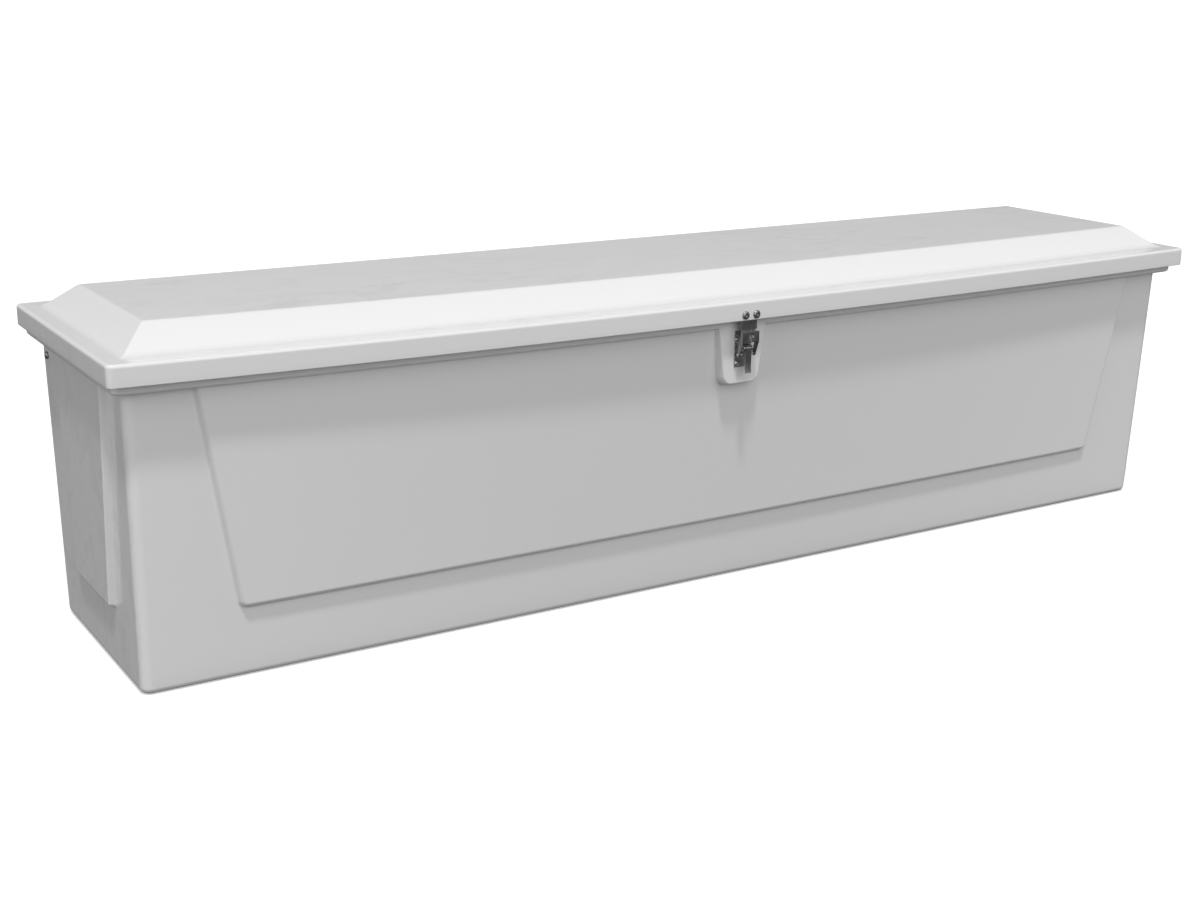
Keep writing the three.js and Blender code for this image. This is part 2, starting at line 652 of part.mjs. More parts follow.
function makeKeeperNut(place) {
  const start = at(place.point.x, PAD_FACE - KEEPER.back + GAP, place.point.z);
  const nut = toSolid(rodAlong(Y_AXIS, KEEPER_NUT.radius, KEEPER_NUT.thick, start, 6));
  return cutAway(nut, boreFor(place));
}

// A steel plate inside the wall that the latch's screws bite into.
const BACKING = { half: 45, gap: 1.5, thick: 3, bottom: 440, top: 515 };

function makeBackingPlate() {
  const { half, thick, bottom, top } = BACKING;
  const y = wallFront(LATCH_X, 500) + WALL + BACKING.gap;
  return toSolid(boxBetween(LATCH_X - half, LATCH_X + half, y, y + thick, bottom, top));
}

// ---------------------------------------------------------------- gas struts
const STRUT_NECK = { tube: 4.5, rod: 5.5, rodLength: 22, rodBack: 26, stud: 5.5 };
const strutSpan = { y: STRUT.upper.y - STRUT.lower.y, z: STRUT.upper.z - STRUT.lower.z };
const STRUT_LENGTH = Math.hypot(strutSpan.y, strutSpan.z);
const STRUT_AXIS = at(0, strutSpan.y / STRUT_LENGTH, strutSpan.z / STRUT_LENGTH);

function strutPoint(side, along) {
  return at(side * STRUT.x, STRUT.lower.y, STRUT.lower.z).addScaledVector(STRUT_AXIS, along);
}

function strutEye(side, along) {
  const centre = strutPoint(side, along);
  return rodAlong(X_AXIS, STRUT.eye, 8, at(centre.x - 4, centre.y, centre.z));
}

function makeStrutTube(side) {
  const { tube, rod, tubeStart, tubeLength, pin } = STRUT;
  const barrel = rodAlong(STRUT_AXIS, tube, tubeLength, strutPoint(side, tubeStart));
  const neck = rodAlong(STRUT_AXIS, STRUT_NECK.tube, tubeStart, strutPoint(side, 2));
  const bore = rodAlong(STRUT_AXIS, rod + GAP, tubeLength, strutPoint(side, tubeStart + 8));
  const hole = rodAlong(X_AXIS, pin + GAP, 20, strutPoint(side, 0).add(at(-10, 0, 0)));
  return cutAway(join(barrel, neck, strutEye(side, 0)), bore, hole);
}

function makeStrutRod(side) {
  const start = STRUT.tubeStart + 12;
  const rod = rodAlong(STRUT_AXIS, STRUT.rod, STRUT_LENGTH - start, strutPoint(side, start));
  const neckStart = strutPoint(side, STRUT_LENGTH - STRUT_NECK.rodBack);
  const neck = rodAlong(STRUT_AXIS, STRUT_NECK.rod, STRUT_NECK.rodLength, neckStart);
  const studStart = at(side * (STRUT.x - 3), STRUT.upper.y, STRUT.upper.z);
  const stud = rodAlong(at(-side, 0, 0), STRUT.pin, STRUT_NECK.stud, studStart);
  return join(rod, neck, strutEye(side, STRUT_LENGTH), stud);
}

const BRACKET_SCREW = { radius: 2, length: 5, head: 3.8, height: 2 };
const TUB_BRACKET = { halfWidth: 14, halfHeight: 25, sheet: 3, screwAt: 17, collar: 2 };

function bracketFace() {
  const narrowest = wallHalf(STRUT.lower.z - TUB_BRACKET.halfHeight);
  return narrowest - WALL - GAP;
}

function tubBracketScrewPlaces(side) {
  const x = side * (bracketFace() - TUB_BRACKET.sheet - GAP);
  return [-TUB_BRACKET.screwAt, TUB_BRACKET.screwAt].map((dz) => ({
    kind: BRACKET_SCREW, axis: at(-side, 0, 0), point: at(x, STRUT.lower.y, STRUT.lower.z + dz),
  }));
}

function makeTubBracket(side) {
  const face = bracketFace();
  const { y, z } = STRUT.lower;
  const { halfWidth, halfHeight, sheet, collar } = TUB_BRACKET;
  const edges = [side * face, side * (face - sheet)].sort((a, b) => a - b);
  const plate = boxBetween(...edges, y - halfWidth, y + halfWidth, z - halfHeight, z + halfHeight);
  const inwards = at(-side, 0, 0);
  const root = at(side * (face - 1), y, z);
  const stud = rodAlong(inwards, STRUT.pin, face - STRUT.x + 5.5, root);
  const shoulder = rodAlong(inwards, STRUT.pin + collar, face - STRUT.x - 6, root);
  const screws = tubBracketScrewPlaces(side).map((place) => boreFor(place));
  return cutAway(join(plate, stud, shoulder), ...screws);
}

// The lid bracket hangs from the sloping end of the raised top and faces the rod's stud.
// Its outline is measured from the strut's upper centre, and downwards from the lid's underside.
const LID_BRACKET = {
  front: 62, back: 20, sheet: 3, flange: 15, fromStrut: 9.1,
  pad: 14, neck: { y: 12, z: 11 }, frontDrop: 26, backDrop: 16,
};

function lidBracketPlate(height) {
  const { y, z } = STRUT.upper;
  const { front, back, pad, neck, frontDrop, backDrop } = LID_BRACKET;
  const shape = new THREE.Shape();
  shape.moveTo(y - front, height - 1);
  shape.lineTo(y - front, height - frontDrop);
  shape.lineTo(y - neck.y, z - neck.z);
  shape.absarc(y, z, pad, -Math.PI * 0.7, Math.PI * 0.2, false);
  shape.lineTo(y - back, height - backDrop);
  shape.lineTo(y - back, height - 1);
  return shape;
}

function makeLidBracket(side) {
  const { front, back, sheet, flange, fromStrut } = LID_BRACKET;
  const outer = STRUT.x - fromStrut;
  const inner = outer - flange;
  const slope = (LID_TOP - LID_RIM) / (BEVEL_TOP.end - BEVEL_BASE.end);
  const slant = Math.hypot(1, slope);
  const bevelFoot = LID_LENGTH / 2 - BEVEL_BASE.end;
  const under = (x) => LID_RIM + (bevelFoot - x) * slope - (WALL + GAP) * slant;
  const plate = lidBracketPlate(under(outer));
  const upright = acrossX(plate, sheet).translate(side * (outer - sheet / 2), 0, 0);
  const bent = new THREE.Shape();
  bent.moveTo(outer, under(outer));
  bent.lineTo(inner, under(inner));
  bent.lineTo(inner, under(inner) - sheet * slant);
  bent.lineTo(outer, under(outer) - sheet * slant);
  const body = new THREE.ExtrudeGeometry(bent, { depth: front - back, bevelEnabled: false });
  const start = STRUT.upper.y - front;
  const sloped = movePoints(body, (v) => v.set(side * v.x, start + v.z, v.y));
  return join(upright, side > 0 ? flipFaces(sloped) : sloped);
}

// ---------------------------------------------------------------- materials
const finish = (color, roughness, metalness) => ({ color, roughness, metalness });
const GELCOAT = finish(0xe9eaea, 0.22, 0);
const STEEL = finish(0x8d9092, 0.32, 1);
const DARK_STEEL = finish(0x4b4e50, 0.36, 1);
const RUBBER = finish(0x232425, 0.75, 0);
const BLACK_PAINT = finish(0x17181a, 0.35, 0.2);
const CHROME = finish(0xc9cccf, 0.12, 1);
const TIMBER = finish(0x9d7f58, 0.7, 0);
const CORE = finish(0xd6d3c8, 0.6, 0);

// ---------------------------------------------------------------- assembly
const box = new THREE.Group();
box.position.y = -DEPTH_CENTRE;

function addPiece(name, solid, look) {
  const mesh = new THREE.Mesh(toGeometry(solid), new THREE.MeshStandardMaterial(look));
  mesh.name = name;
  box.add(mesh);
}

const sideName = (side) => (side < 0 ? 'left' : 'right');

addPiece('tub_shell', makeTub(), GELCOAT);
addPiece('rim_seal', makeSeal(), RUBBER);
addPiece('back_rail', makeRail(), TIMBER);
for (const side of [-1, 1]) {
  addPiece(`rail_bolt_${sideName(side)}`, placeFastener(END_BOLT, endBoltPlace(side)), DARK_STEEL);
}

addPiece('lid_shell', makeLid(), GELCOAT);
STRINGER.places.forEach((x, i) => addPiece(`lid_stringer_${i + 1}`, makeStringer(x), CORE));

addPiece('hinge_leaf_tub', makeLeaf(-1), STEEL);
addPiece('hinge_leaf_lid', makeLeaf(1), STEEL);
addPiece('hinge_pin', makeHingePin(), STEEL);
for (const [name, side] of [['tub', -1], ['lid', 1]]) {
  hingeScrewPlaces(side).forEach((place, i) => {
    addPiece(`hinge_screw_${name}_${i + 1}`, placeFastener(HINGE_SCREW, place), STEEL);
  });
}

addPiece('latch_base', makeLatchBase(), STEEL);
baseScrewPlaces().forEach((place, i) => {
  addPiece(`latch_screw_${i + 1}`, placeFastener(BASE_SCREW, place), STEEL);
});
addPiece('latch_backing_plate', makeBackingPlate(), STEEL);
addPiece('lever_pin', latchPin(LATCH.leverPivot, LATCH.earOut + 0.5), STEEL);
addPiece('latch_lever', makeLever(), DARK_STEEL);
addPiece('bail_pin', latchPin(LATCH.bailPivot, LATCH.bailHalf + 0.5), STEEL);
addPiece('latch_bail', makeBail(), DARK_STEEL);
addPiece('latch_keeper', makeKeeper(), DARK_STEEL);
keeperScrewPlaces().forEach((place, i) => {
  addPiece(`keeper_screw_${sideName(i * 2 - 1)}`, placeFastener(KEEPER_SCREW, place), DARK_STEEL);
  addPiece(`keeper_nut_${sideName(i * 2 - 1)}`, makeKeeperNut(place), STEEL);
});

for (const side of [-1, 1]) {
  const name = sideName(side);
  addPiece(`strut_bracket_tub_${name}`, makeTubBracket(side), STEEL);
  tubBracketScrewPlaces(side).forEach((place, i) => {
    addPiece(`strut_screw_${name}_${i + 1}`, placeFastener(BRACKET_SCREW, place), STEEL);
  });
  addPiece(`strut_tube_${name}`, makeStrutTube(side), BLACK_PAINT);
  addPiece(`strut_rod_${name}`, makeStrutRod(side), CHROME);
  addPiece(`strut_bracket_lid_${name}`, makeLidBracket(side), STEEL);
}

export default box;
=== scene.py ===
"""Looks for a fibreglass dock box: moulded gelcoat shells, seal, hinge, gas struts and a draw latch."""

import math

import bmesh
import bpy
import numpy as np
from mathutils import Matrix, Vector


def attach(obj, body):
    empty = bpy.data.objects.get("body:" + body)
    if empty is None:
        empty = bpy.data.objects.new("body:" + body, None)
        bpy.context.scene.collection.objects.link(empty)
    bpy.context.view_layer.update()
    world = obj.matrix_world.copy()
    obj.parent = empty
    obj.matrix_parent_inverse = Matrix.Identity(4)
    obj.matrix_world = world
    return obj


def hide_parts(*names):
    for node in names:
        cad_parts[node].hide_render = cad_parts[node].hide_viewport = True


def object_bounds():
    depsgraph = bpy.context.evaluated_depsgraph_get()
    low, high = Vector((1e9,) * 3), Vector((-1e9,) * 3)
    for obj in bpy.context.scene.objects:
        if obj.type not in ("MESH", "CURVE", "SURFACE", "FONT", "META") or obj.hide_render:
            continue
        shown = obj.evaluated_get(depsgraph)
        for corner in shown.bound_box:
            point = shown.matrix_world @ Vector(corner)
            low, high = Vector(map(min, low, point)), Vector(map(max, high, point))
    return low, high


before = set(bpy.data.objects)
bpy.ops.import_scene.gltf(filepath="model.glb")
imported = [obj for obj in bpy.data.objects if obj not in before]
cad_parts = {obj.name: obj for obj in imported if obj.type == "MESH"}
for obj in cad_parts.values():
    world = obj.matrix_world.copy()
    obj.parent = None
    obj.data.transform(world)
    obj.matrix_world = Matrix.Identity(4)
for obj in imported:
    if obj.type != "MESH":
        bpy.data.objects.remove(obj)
CAD_LOW, CAD_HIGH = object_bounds()

# Millimetres. Y is measured back from the lid's front corners, and moves by DEPTH_CENTRE into the frame.
DEPTH_CENTRE = 263.0
WALL = 5.0
LID = dict(half=1219.0, depth=566.8, bottom=545.0, rim=583.0, top=626.0, crown=40.0, corner=11.0, edge=6.0)
BEVEL_BASE = dict(end=38.0, front=45.0, back=43.0)
BEVEL_RUN = dict(end=52.0, front=63.0, back=52.0)
TUB = dict(
    half_base=1178.0, half_top=1185.0, front_base=60.8, front_top=42.5, back_base=523.0, back_top=541.0,
    top=527.0, corner=18.0, foot=12.0, crown=36.0,
)
RIM_OUT, RIM_TOP, RIM_INWARD, RIM_CORNER, RIM_BACK_OUT = 22.0, 568.0, 25.0, 12.0, 17.0
RIM_START = 4.0  # the rim's rings begin this far below the tub's top
CROWN_FADE = 110.0
FRONT_PANEL = dict(
    bottom=127.0, half_bottom=1008.0, half_top=1076.0, proud=11.0, bevel=7.0, corner=15.0, foot=2.2, brow=3.4,
)
END_PANEL = dict(
    bottom=118.0, front_low=180.0, back_low=392.0, front_top=127.0, back_top=418.0, proud=12.0, bevel=5.0,
    corner=9.0, foot=2.4, brow=2.2,
)
LATCH_X = -22.0
PAD = dict(
    bottom=418.0, half_low=39.0, half_top=54.5, corner=15.0, draft=9.0 / 57.7, grow=(3.4, 5.4),
    foot=2.6, brow=2.0, blend=3.0,
)
PAD_FACE = -15.2
HINGE = dict(y=571.5, z=544.6, radius=4.2, leaf=20.0, thick=1.5, half=1150.0, knuckles=23, pin=1.8)
LEDGE = dict(half=1192.0, front=553.0, bottom=515.0, top=543.5, edge=2.6)
SIDES = (("left", -1), ("right", 1))
GAP = 0.3


def lerp(a, b, t):
    return a + (b - a) * t


def clamp(value, low, high):
    return max(low, min(high, value))


def to_metres(points):
    return (np.asarray(points, float) - (0.0, DEPTH_CENTRE, 0.0)) * 0.001


# ---------------------------------------------------------------- smooth relief
def soft(u, r):
    """max(u, 0) with a rounded knee of half width r."""
    return np.where(u <= -r, 0.0, np.where(u >= r, u, (u + r) ** 2 / (4 * r)))


def ramp(d, start, end, r0, r1):
    """Rises from 0 to 1 between start and end, with a fillet at the foot and a rounded brow."""
    return (soft(d - start, r0) - soft(d - end, r1)) / (end - start)


def edge_distance(side, low, radius):
    """How far inside an outline a point is, from its distances to the side and the lower edge."""
    a, b = radius - side, radius - low
    outside = np.hypot(np.maximum(a, 0), np.maximum(b, 0))
    return radius - outside - np.minimum(np.maximum(a, b), 0)


def smooth_max(a, b, k):
    h = np.clip(0.5 + 0.5 * (b - a) / k, 0, 1)
    return a * (1 - h) + b * h + k * h * (1 - h)


# ---------------------------------------------------------------- tub shape
def tub_lift(z):
    return clamp(z / TUB["top"], 0.0, 1.0)


def wall_front(x, z):
    t = tub_lift(z)
    bow = TUB["crown"] * t * (1 - (x / TUB["half_top"]) ** 2)
    return lerp(TUB["front_base"], TUB["front_top"], t) - bow


def panel_half(z):
    t = clamp((z - FRONT_PANEL["bottom"]) / (TUB["top"] - FRONT_PANEL["bottom"]), 0.0, 1.0)
    return lerp(FRONT_PANEL["half_bottom"], FRONT_PANEL["half_top"], t)


def pad_half(z):
    t = clamp((z - PAD["bottom"]) / (TUB["top"] - PAD["bottom"]), 0.0, 1.0)
    return lerp(PAD["half_low"], PAD["half_top"], t)


def end_panel_edges(z):
    t = clamp((z - END_PANEL["bottom"]) / (TUB["top"] - END_PANEL["bottom"]), 0.0, 1.0)
    front = lerp(END_PANEL["front_low"], END_PANEL["front_top"], t)
    return front, lerp(END_PANEL["back_low"], END_PANEL["back_top"], t)


def panel_height(panel, d):
    """How far a raised panel stands out, from the distance inside its outline."""
    return panel["proud"] * ramp(d, 0.0, panel["bevel"], panel["foot"], panel["brow"])


def front_panel_relief(x, z):
    run = FRONT_PANEL["half_top"] - FRONT_PANEL["half_bottom"]
    slant = math.cos(math.atan(run / (TUB["top"] - FRONT_PANEL["bottom"])))
    side = (panel_half(z) - abs(x)) * slant
    d = edge_distance(side, z - FRONT_PANEL["bottom"] + 0 * x, FRONT_PANEL["corner"])
    return panel_height(FRONT_PANEL, d)


def pad_relief(x, z):
    depth = wall_front(x, z) - PAD_FACE
    grow = clamp(float(np.mean(depth)) * PAD["draft"], *PAD["grow"])
    d = edge_distance(pad_half(z) - abs(x - LATCH_X), z - PAD["bottom"] + 0 * x, PAD["corner"])
    return depth * ramp(d, -grow, 0.0, PAD["foot"], PAD["brow"])


def front_relief(x, z):
    z = min(z, TUB["top"])
    return smooth_max(front_panel_relief(x, z), pad_relief(x, z), PAD["blend"])


def end_relief(y, z):
    front, back = end_panel_edges(z)
    side = np.minimum(y - front, back - y)
    d = edge_distance(side, z - END_PANEL["bottom"] + 0 * y, END_PANEL["corner"])
    return panel_height(END_PANEL, d)


# ---------------------------------------------------------------- rings round the box
CORNER_STEPS = 9


def spread(stops, counts):
    """Values from the first stop to the last, with the given number of steps between neighbours."""
    parts = [np.linspace(a, b, n, endpoint=False) for a, b, n in zip(stops, stops[1:], counts)]
    return np.concatenate(parts + [np.array([stops[-1]])])


def bowed(x, y, crown, half, back):
    weight = np.clip((back - y) / (back - CROWN_FADE), 0, 1)
    return y - crown * (1 - (x / half) ** 2) * weight


def ring(plan, z, front_x, end_y, front_out=0.0, end_out=0.0, bow=None):
    """One closed line round the box: front, right end, back, left end, with rounded corners between."""
    half, front, back, r = plan
    turn = np.linspace(0, math.pi / 2, CORNER_STEPS + 2)[1:-1]

    def corner(cx, cy, start):
        return cx + r * np.cos(start + turn), cy + r * np.sin(start + turn)

    straight = half - r
    sides = [
        (front_x, front - front_out + 0 * front_x),
        corner(straight, front + r, -math.pi / 2),
        (half + end_out + 0 * end_y, end_y),
        corner(straight, back - r, 0.0),
        (front_x[::-1], back + 0 * front_x),
        corner(-straight, back - r, math.pi / 2),
        (-half - end_out + 0 * end_y, end_y[::-1]),
        corner(-straight, front + r, math.pi),
    ]
    x = np.concatenate([s[0] for s in sides])
    y = np.concatenate([s[1] for s in sides])
    if bow:
        y = bowed(x, y, *bow)
    return np.column_stack([x, y, z + 0 * x])


def side_paths(count_front, count_end):
    """Indices along a ring that bound its cap: its front, back, left and right.

    The front and the back run from the left end, the other two from the front.
    """
    n, c, e = count_front, CORNER_STEPS, count_end
    total = 2 * n + 4 * c + 2 * e
    front = list(range(n))
    back = list(range(n + 2 * c + e, 2 * n + 2 * c + e))[::-1]
    right = list(range(n - 1, n + 2 * c + e + 1))
    left = [0] + list(range(total - 1, total - 2 * c - e - 1, -1)) + [back[0]]
    return front, back, left, right


def coons(points, paths):
    """Points filling the inside of a ring, as a grid [depth step][front column]."""
    front, back, left, right = (points[p] for p in paths)
    u = ((front[:, 0] - front[0, 0]) / (front[-1, 0] - front[0, 0]))[None, :, None]
    v = ((left[:, 1] - left[0, 1]) / (left[-1, 1] - left[0, 1]))[:, None, None]
    rails = (1 - v) * front[None] + v * back[None]
    ends = (1 - u) * left[:, None] + u * right[:, None]
    corners = (1 - u) * (1 - v) * front[0] + u * (1 - v) * front[-1]
    corners = corners + (1 - u) * v * back[0] + u * v * back[-1]
    return rails + ends - corners


def loft(rings, count_front, count_end, caps=True, closed=False, tags=None):
    """Points, faces and a material index for each face of a stack of rings."""
    size = len(rings[0])
    points = [np.asarray(r) for r in rings]
    faces, marks = [], []
    tags = tags or [0] * len(rings)
    pairs = [(k, k + 1) for k in range(len(rings) - 1)] + ([(len(rings) - 1, 0)] if closed else [])
    for a, b in pairs:
        for i in range(size):
            j = (i + 1) % size
            faces.append((a * size + i, a * size + j, b * size + j, b * size + i))
            marks.append(tags[a])
    total = size * len(rings)
    if caps:
        paths = side_paths(count_front, count_end)
        for at, flip in ((0, True), (len(rings) - 1, False)):
            grid = coons(rings[at], paths)
            rows, columns = grid.shape[:2]
            index = np.zeros((rows, columns), int)
            index[0], index[-1] = np.array(paths[0]) + at * size, np.array(paths[1]) + at * size
            index[:, 0], index[:, -1] = np.array(paths[2]) + at * size, np.array(paths[3]) + at * size
            inner = grid[1:-1, 1:-1].reshape(-1, 3)
            index[1:-1, 1:-1] = (total + np.arange(len(inner))).reshape(rows - 2, columns - 2)
            points.append(inner)
            total += len(inner)
            for i in range(rows - 1):
                for j in range(columns - 1):
                    quad = (index[i, j], index[i, j + 1], index[i + 1, j + 1], index[i + 1, j])
                    faces.append(tuple(int(q) for q in (quad[::-1] if flip else quad)))
                    marks.append(tags[at])
    return np.concatenate(points), faces, marks


# ---------------------------------------------------------------- making pieces
NORMAL_WEIGHT = 60


def add_piece(name, points, faces, body, materials, replaces=(), marks=None, sharp=60.0,
              weighted=True):
    """A closed mesh in millimetres becomes a piece that rides on a CAD body."""
    mesh = bpy.data.meshes.new(name)
    mesh.from_pydata([tuple(p) for p in to_metres(points)], [], faces)
    materials = materials if isinstance(materials, (list, tuple)) else [materials]
    for material in materials:
        mesh.materials.append(material)
    if marks is not None:
        mesh.polygons.foreach_set("material_index", np.asarray(marks, np.int32))
    bm = bmesh.new()
    bm.from_mesh(mesh)
    bmesh.ops.recalc_face_normals(bm, faces=bm.faces)
    bm.to_mesh(mesh)
    bm.free()
    mesh.shade_smooth()
    mesh.set_sharp_from_angle(angle=math.radians(sharp))
    obj = bpy.data.objects.new(name, mesh)
    bpy.context.scene.collection.objects.link(obj)
    if weighted:
        normals = obj.modifiers.new("normals", "WEIGHTED_NORMAL")
        normals.keep_sharp = True
        normals.weight = NORMAL_WEIGHT
    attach(obj, body)
    if replaces:
        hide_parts(*replaces)


# Steps between neighbouring stops across the front and along an end, closest over the raised edges.
FRONT_STEPS = (4, 12, 22, 12, 9, 6, 9, 12, 22, 12, 4)
END_STEPS = (4, 11, 10, 11, 4)


def tub_front_columns(z, plan):
    z = min(z, TUB["top"])
    edge = plan[0] - plan[3]
    panel, pad = panel_half(z), pad_half(z)
    stops = [-edge, -panel - 4, -panel + 12, LATCH_X - pad - 9, LATCH_X - pad + 3, LATCH_X - pad + 20,
             LATCH_X + pad - 20, LATCH_X + pad - 3, LATCH_X + pad + 9, panel - 12, panel + 4, edge]
    return spread(stops, FRONT_STEPS)


def tub_end_columns(z, plan):
    front, back = end_panel_edges(min(z, TUB["top"]))
    stops = [plan[1] + plan[3], front - 4, front + 10, back - 10, back + 4, plan[2] - plan[3]]
    return spread(stops, END_STEPS)


def tub_ring(z, out, raised, inner=False):
    """A ring at height z, moved out from the wall, that follows the raised panels and the latch pad."""
    t = tub_lift(z)
    base = (lerp(TUB["half_base"], TUB["half_top"], t), lerp(TUB["front_base"], TUB["front_top"], t),
            lerp(TUB["back_base"], TUB["back_top"], t))
    radius = max(TUB["corner"] + out, 1.0)
    back_out = out
    if z > TUB["top"] - RIM_START and out > 0:
        radius = lerp(TUB["corner"], RIM_CORNER, out / RIM_OUT)
        back_out = out * RIM_BACK_OUT / RIM_OUT
    plan = (base[0] + out, base[1] - out, base[2] + back_out, radius)
    front_x, end_y = tub_front_columns(z, plan), tub_end_columns(z, plan)
    front_out, end_out = 0.0, 0.0
    if raised:
        limit = min(z, TUB["top"])
        relief = front_panel_relief(front_x, limit) if inner else front_relief(front_x, limit)
        front_out = relief if inner else np.maximum(relief - out, 0.0)
        end_out = 0.0 if inner else np.maximum(end_relief(end_y, limit) - out, 0.0)
    bow = (TUB["crown"] * t, TUB["half_top"], TUB["back_top"])
    return ring(plan, z, front_x, end_y, front_out, end_out, bow)


def tub_levels():
    """The wall's heights, close together where a raised edge crosses them."""
    low = list(np.linspace(30, 108, 4)) + list(np.linspace(112, 142, 21)) + list(np.linspace(165, 395, 7))
    pad = list(np.linspace(404, 424, 15)) + list(np.linspace(427, 438, 5))
    return low + pad + [450, 465, 480, 495, 508, 516, 521]


def quarter(z0, o0, z1, o1, steps, vertical_first):
    """A quarter round between two (height, out) points, leaving the first upright or level."""
    made = []
    for i in range(1, steps + 1):
        a = math.pi / 2 * i / steps
        if vertical_first:
            made.append((lerp(z0, z1, math.sin(a)), lerp(o0, o1, 1 - math.cos(a))))
        else:
            made.append((lerp(z0, z1, 1 - math.cos(a)), lerp(o0, o1, math.sin(a))))
    return made


def tub_outside():
    """Rings from the underside, up the wall and over the rim to its inner edge."""
    foot = TUB["foot"]
    rings = [tub_ring(0.0, -foot, False)]
    rings += [tub_ring(z, o, False) for z, o in quarter(0.0, -foot, foot, 0.0, 8, False)]
    rings += [tub_ring(z, 0.0, True) for z in tub_levels()]
    rim = [(523.0, 0.25), (525.2, 1.2), (526.4, 3.0), (526.8, 6.0), (527.0, RIM_OUT - 6)]
    rim += quarter(527.0, RIM_OUT - 6, 533.0, RIM_OUT, 6, False)
    rim += [(545.0, RIM_OUT), (RIM_TOP - 2.5, RIM_OUT)]
    rings += [tub_ring(z, o, True) for z, o in rim]
    top = quarter(RIM_TOP - 2.5, RIM_OUT, RIM_TOP, RIM_OUT - 2.5, 4, True)
    lip = RIM_OUT - RIM_INWARD
    top += [(RIM_TOP, RIM_OUT - 8), (RIM_TOP, lip + 6), (RIM_TOP, lip + 1.5), (RIM_TOP - 0.5, lip + 0.4),
            (RIM_TOP - 1.5, lip), (RIM_TOP - WALL + 1, lip), (RIM_TOP - WALL, lip + 1)]
    return rings + [tub_ring(z, o, False) for z, o in top]


def tub_inside():
    """Rings from under the rim, down the inner face of the wall to the floor."""
    channel = [(RIM_TOP - WALL, RIM_OUT - WALL - 4), (RIM_TOP - WALL - 3, RIM_OUT - WALL),
               (TUB["top"] + WALL + 4, RIM_OUT - WALL), (TUB["top"] + WALL, RIM_OUT - WALL - 3),
               (TUB["top"] + WALL, 8.0 - WALL)]
    rings = [tub_ring(z, o, False) for z, o in channel]
    under = [(TUB["top"] + WALL - 0.8, 4.5 - WALL), (TUB["top"] + 2.5, 1.0 - WALL), (TUB["top"] - 2, -WALL)]
    rings += [tub_ring(z, o, True, inner=True) for z, o in under]
    inner_foot = TUB["foot"] - WALL
    floor = WALL + 1.0
    heights = [520.0, 460.0, 410.0] + [z for z in tub_levels() if z < 400][::-1] + [floor + inner_foot]
    rings += [tub_ring(z, -WALL, True, inner=True) for z in heights]
    curve = quarter(floor, -WALL - inner_foot, floor + inner_foot, -WALL, 6, False)[::-1][1:]
    return rings + [tub_ring(z, o, False) for z, o in curve + [(floor, -WALL - inner_foot)]]


def build_tub(outside, inside):
    outer, inner = tub_outside(), tub_inside()
    tags = [0] * len(outer) + [1] * len(inner)
    points, faces, marks = loft(outer + inner, sum(FRONT_STEPS) + 1, sum(END_STEPS) + 1, tags=tags)
    add_piece("tub_moulding", points, faces, "tub", [outside, inside], ["tub_shell"], marks)


# ---------------------------------------------------------------- lid shape
LID_COLUMNS, LID_END_COLUMNS = 150, 36
MITRE_FOOT, MITRE_INNER_FOOT, MITRE_RIDGE = 3.5, 3.0, 2.5  # corner radii of the raised top


def lid_ring(z, end, front, back, radius):
    plan = (LID["half"] - end, front, LID["depth"] - back, radius)
    front_x = np.linspace(-(plan[0] - radius), plan[0] - radius, LID_COLUMNS)
    end_y = np.linspace(plan[1] + radius, plan[2] - radius, LID_END_COLUMNS)
    return ring(plan, z, front_x, end_y, bow=(LID["crown"], LID["half"], LID["depth"]))


def even_ring(z, inset):
    return lid_ring(z, inset, inset, inset, max(LID["corner"] - inset, 2.0))


def raised_ring(u, z, radius, thin=0.0):
    """A ring on the raised top: u is 0 at the foot of its sloping sides and 1 at the ridge."""
    insets = []
    for name in ("end", "front", "back"):
        run = BEVEL_RUN[name]
        slant = math.hypot(run, LID["top"] - LID["rim"]) / (LID["top"] - LID["rim"])
        insets.append(BEVEL_BASE[name] + run * u + thin * slant)
    return lid_ring(z, *insets, radius)


def bevel_height(u, low, high, foot, brow):
    return low + (high - low) * float(ramp(np.array(u), 0.0, 1.0, foot, brow))


def lid_inside():
    """Rings from the lip, up the inner face of the lid to under its raised top."""
    low, rim, top = LID["bottom"], LID["rim"] - WALL, LID["top"] - WALL
    steps = [(low + 0.6, WALL), (low + 4, WALL), (rim - 3, WALL), (rim - 0.8, WALL + 0.8), (rim, WALL + 3),
             (rim, 20.0)]
    rings = [even_ring(z, inset) for z, inset in steps]
    for u in (-0.1, 0.0, 0.1, 0.5, 0.9, 0.97, 1.03):
        radius = lerp(MITRE_INNER_FOOT, MITRE_RIDGE, clamp(u, 0.0, 1.0))
        rings.append(raised_ring(u, bevel_height(u, rim, top, 0.06, 0.03), radius, WALL * 0.8))
    return rings


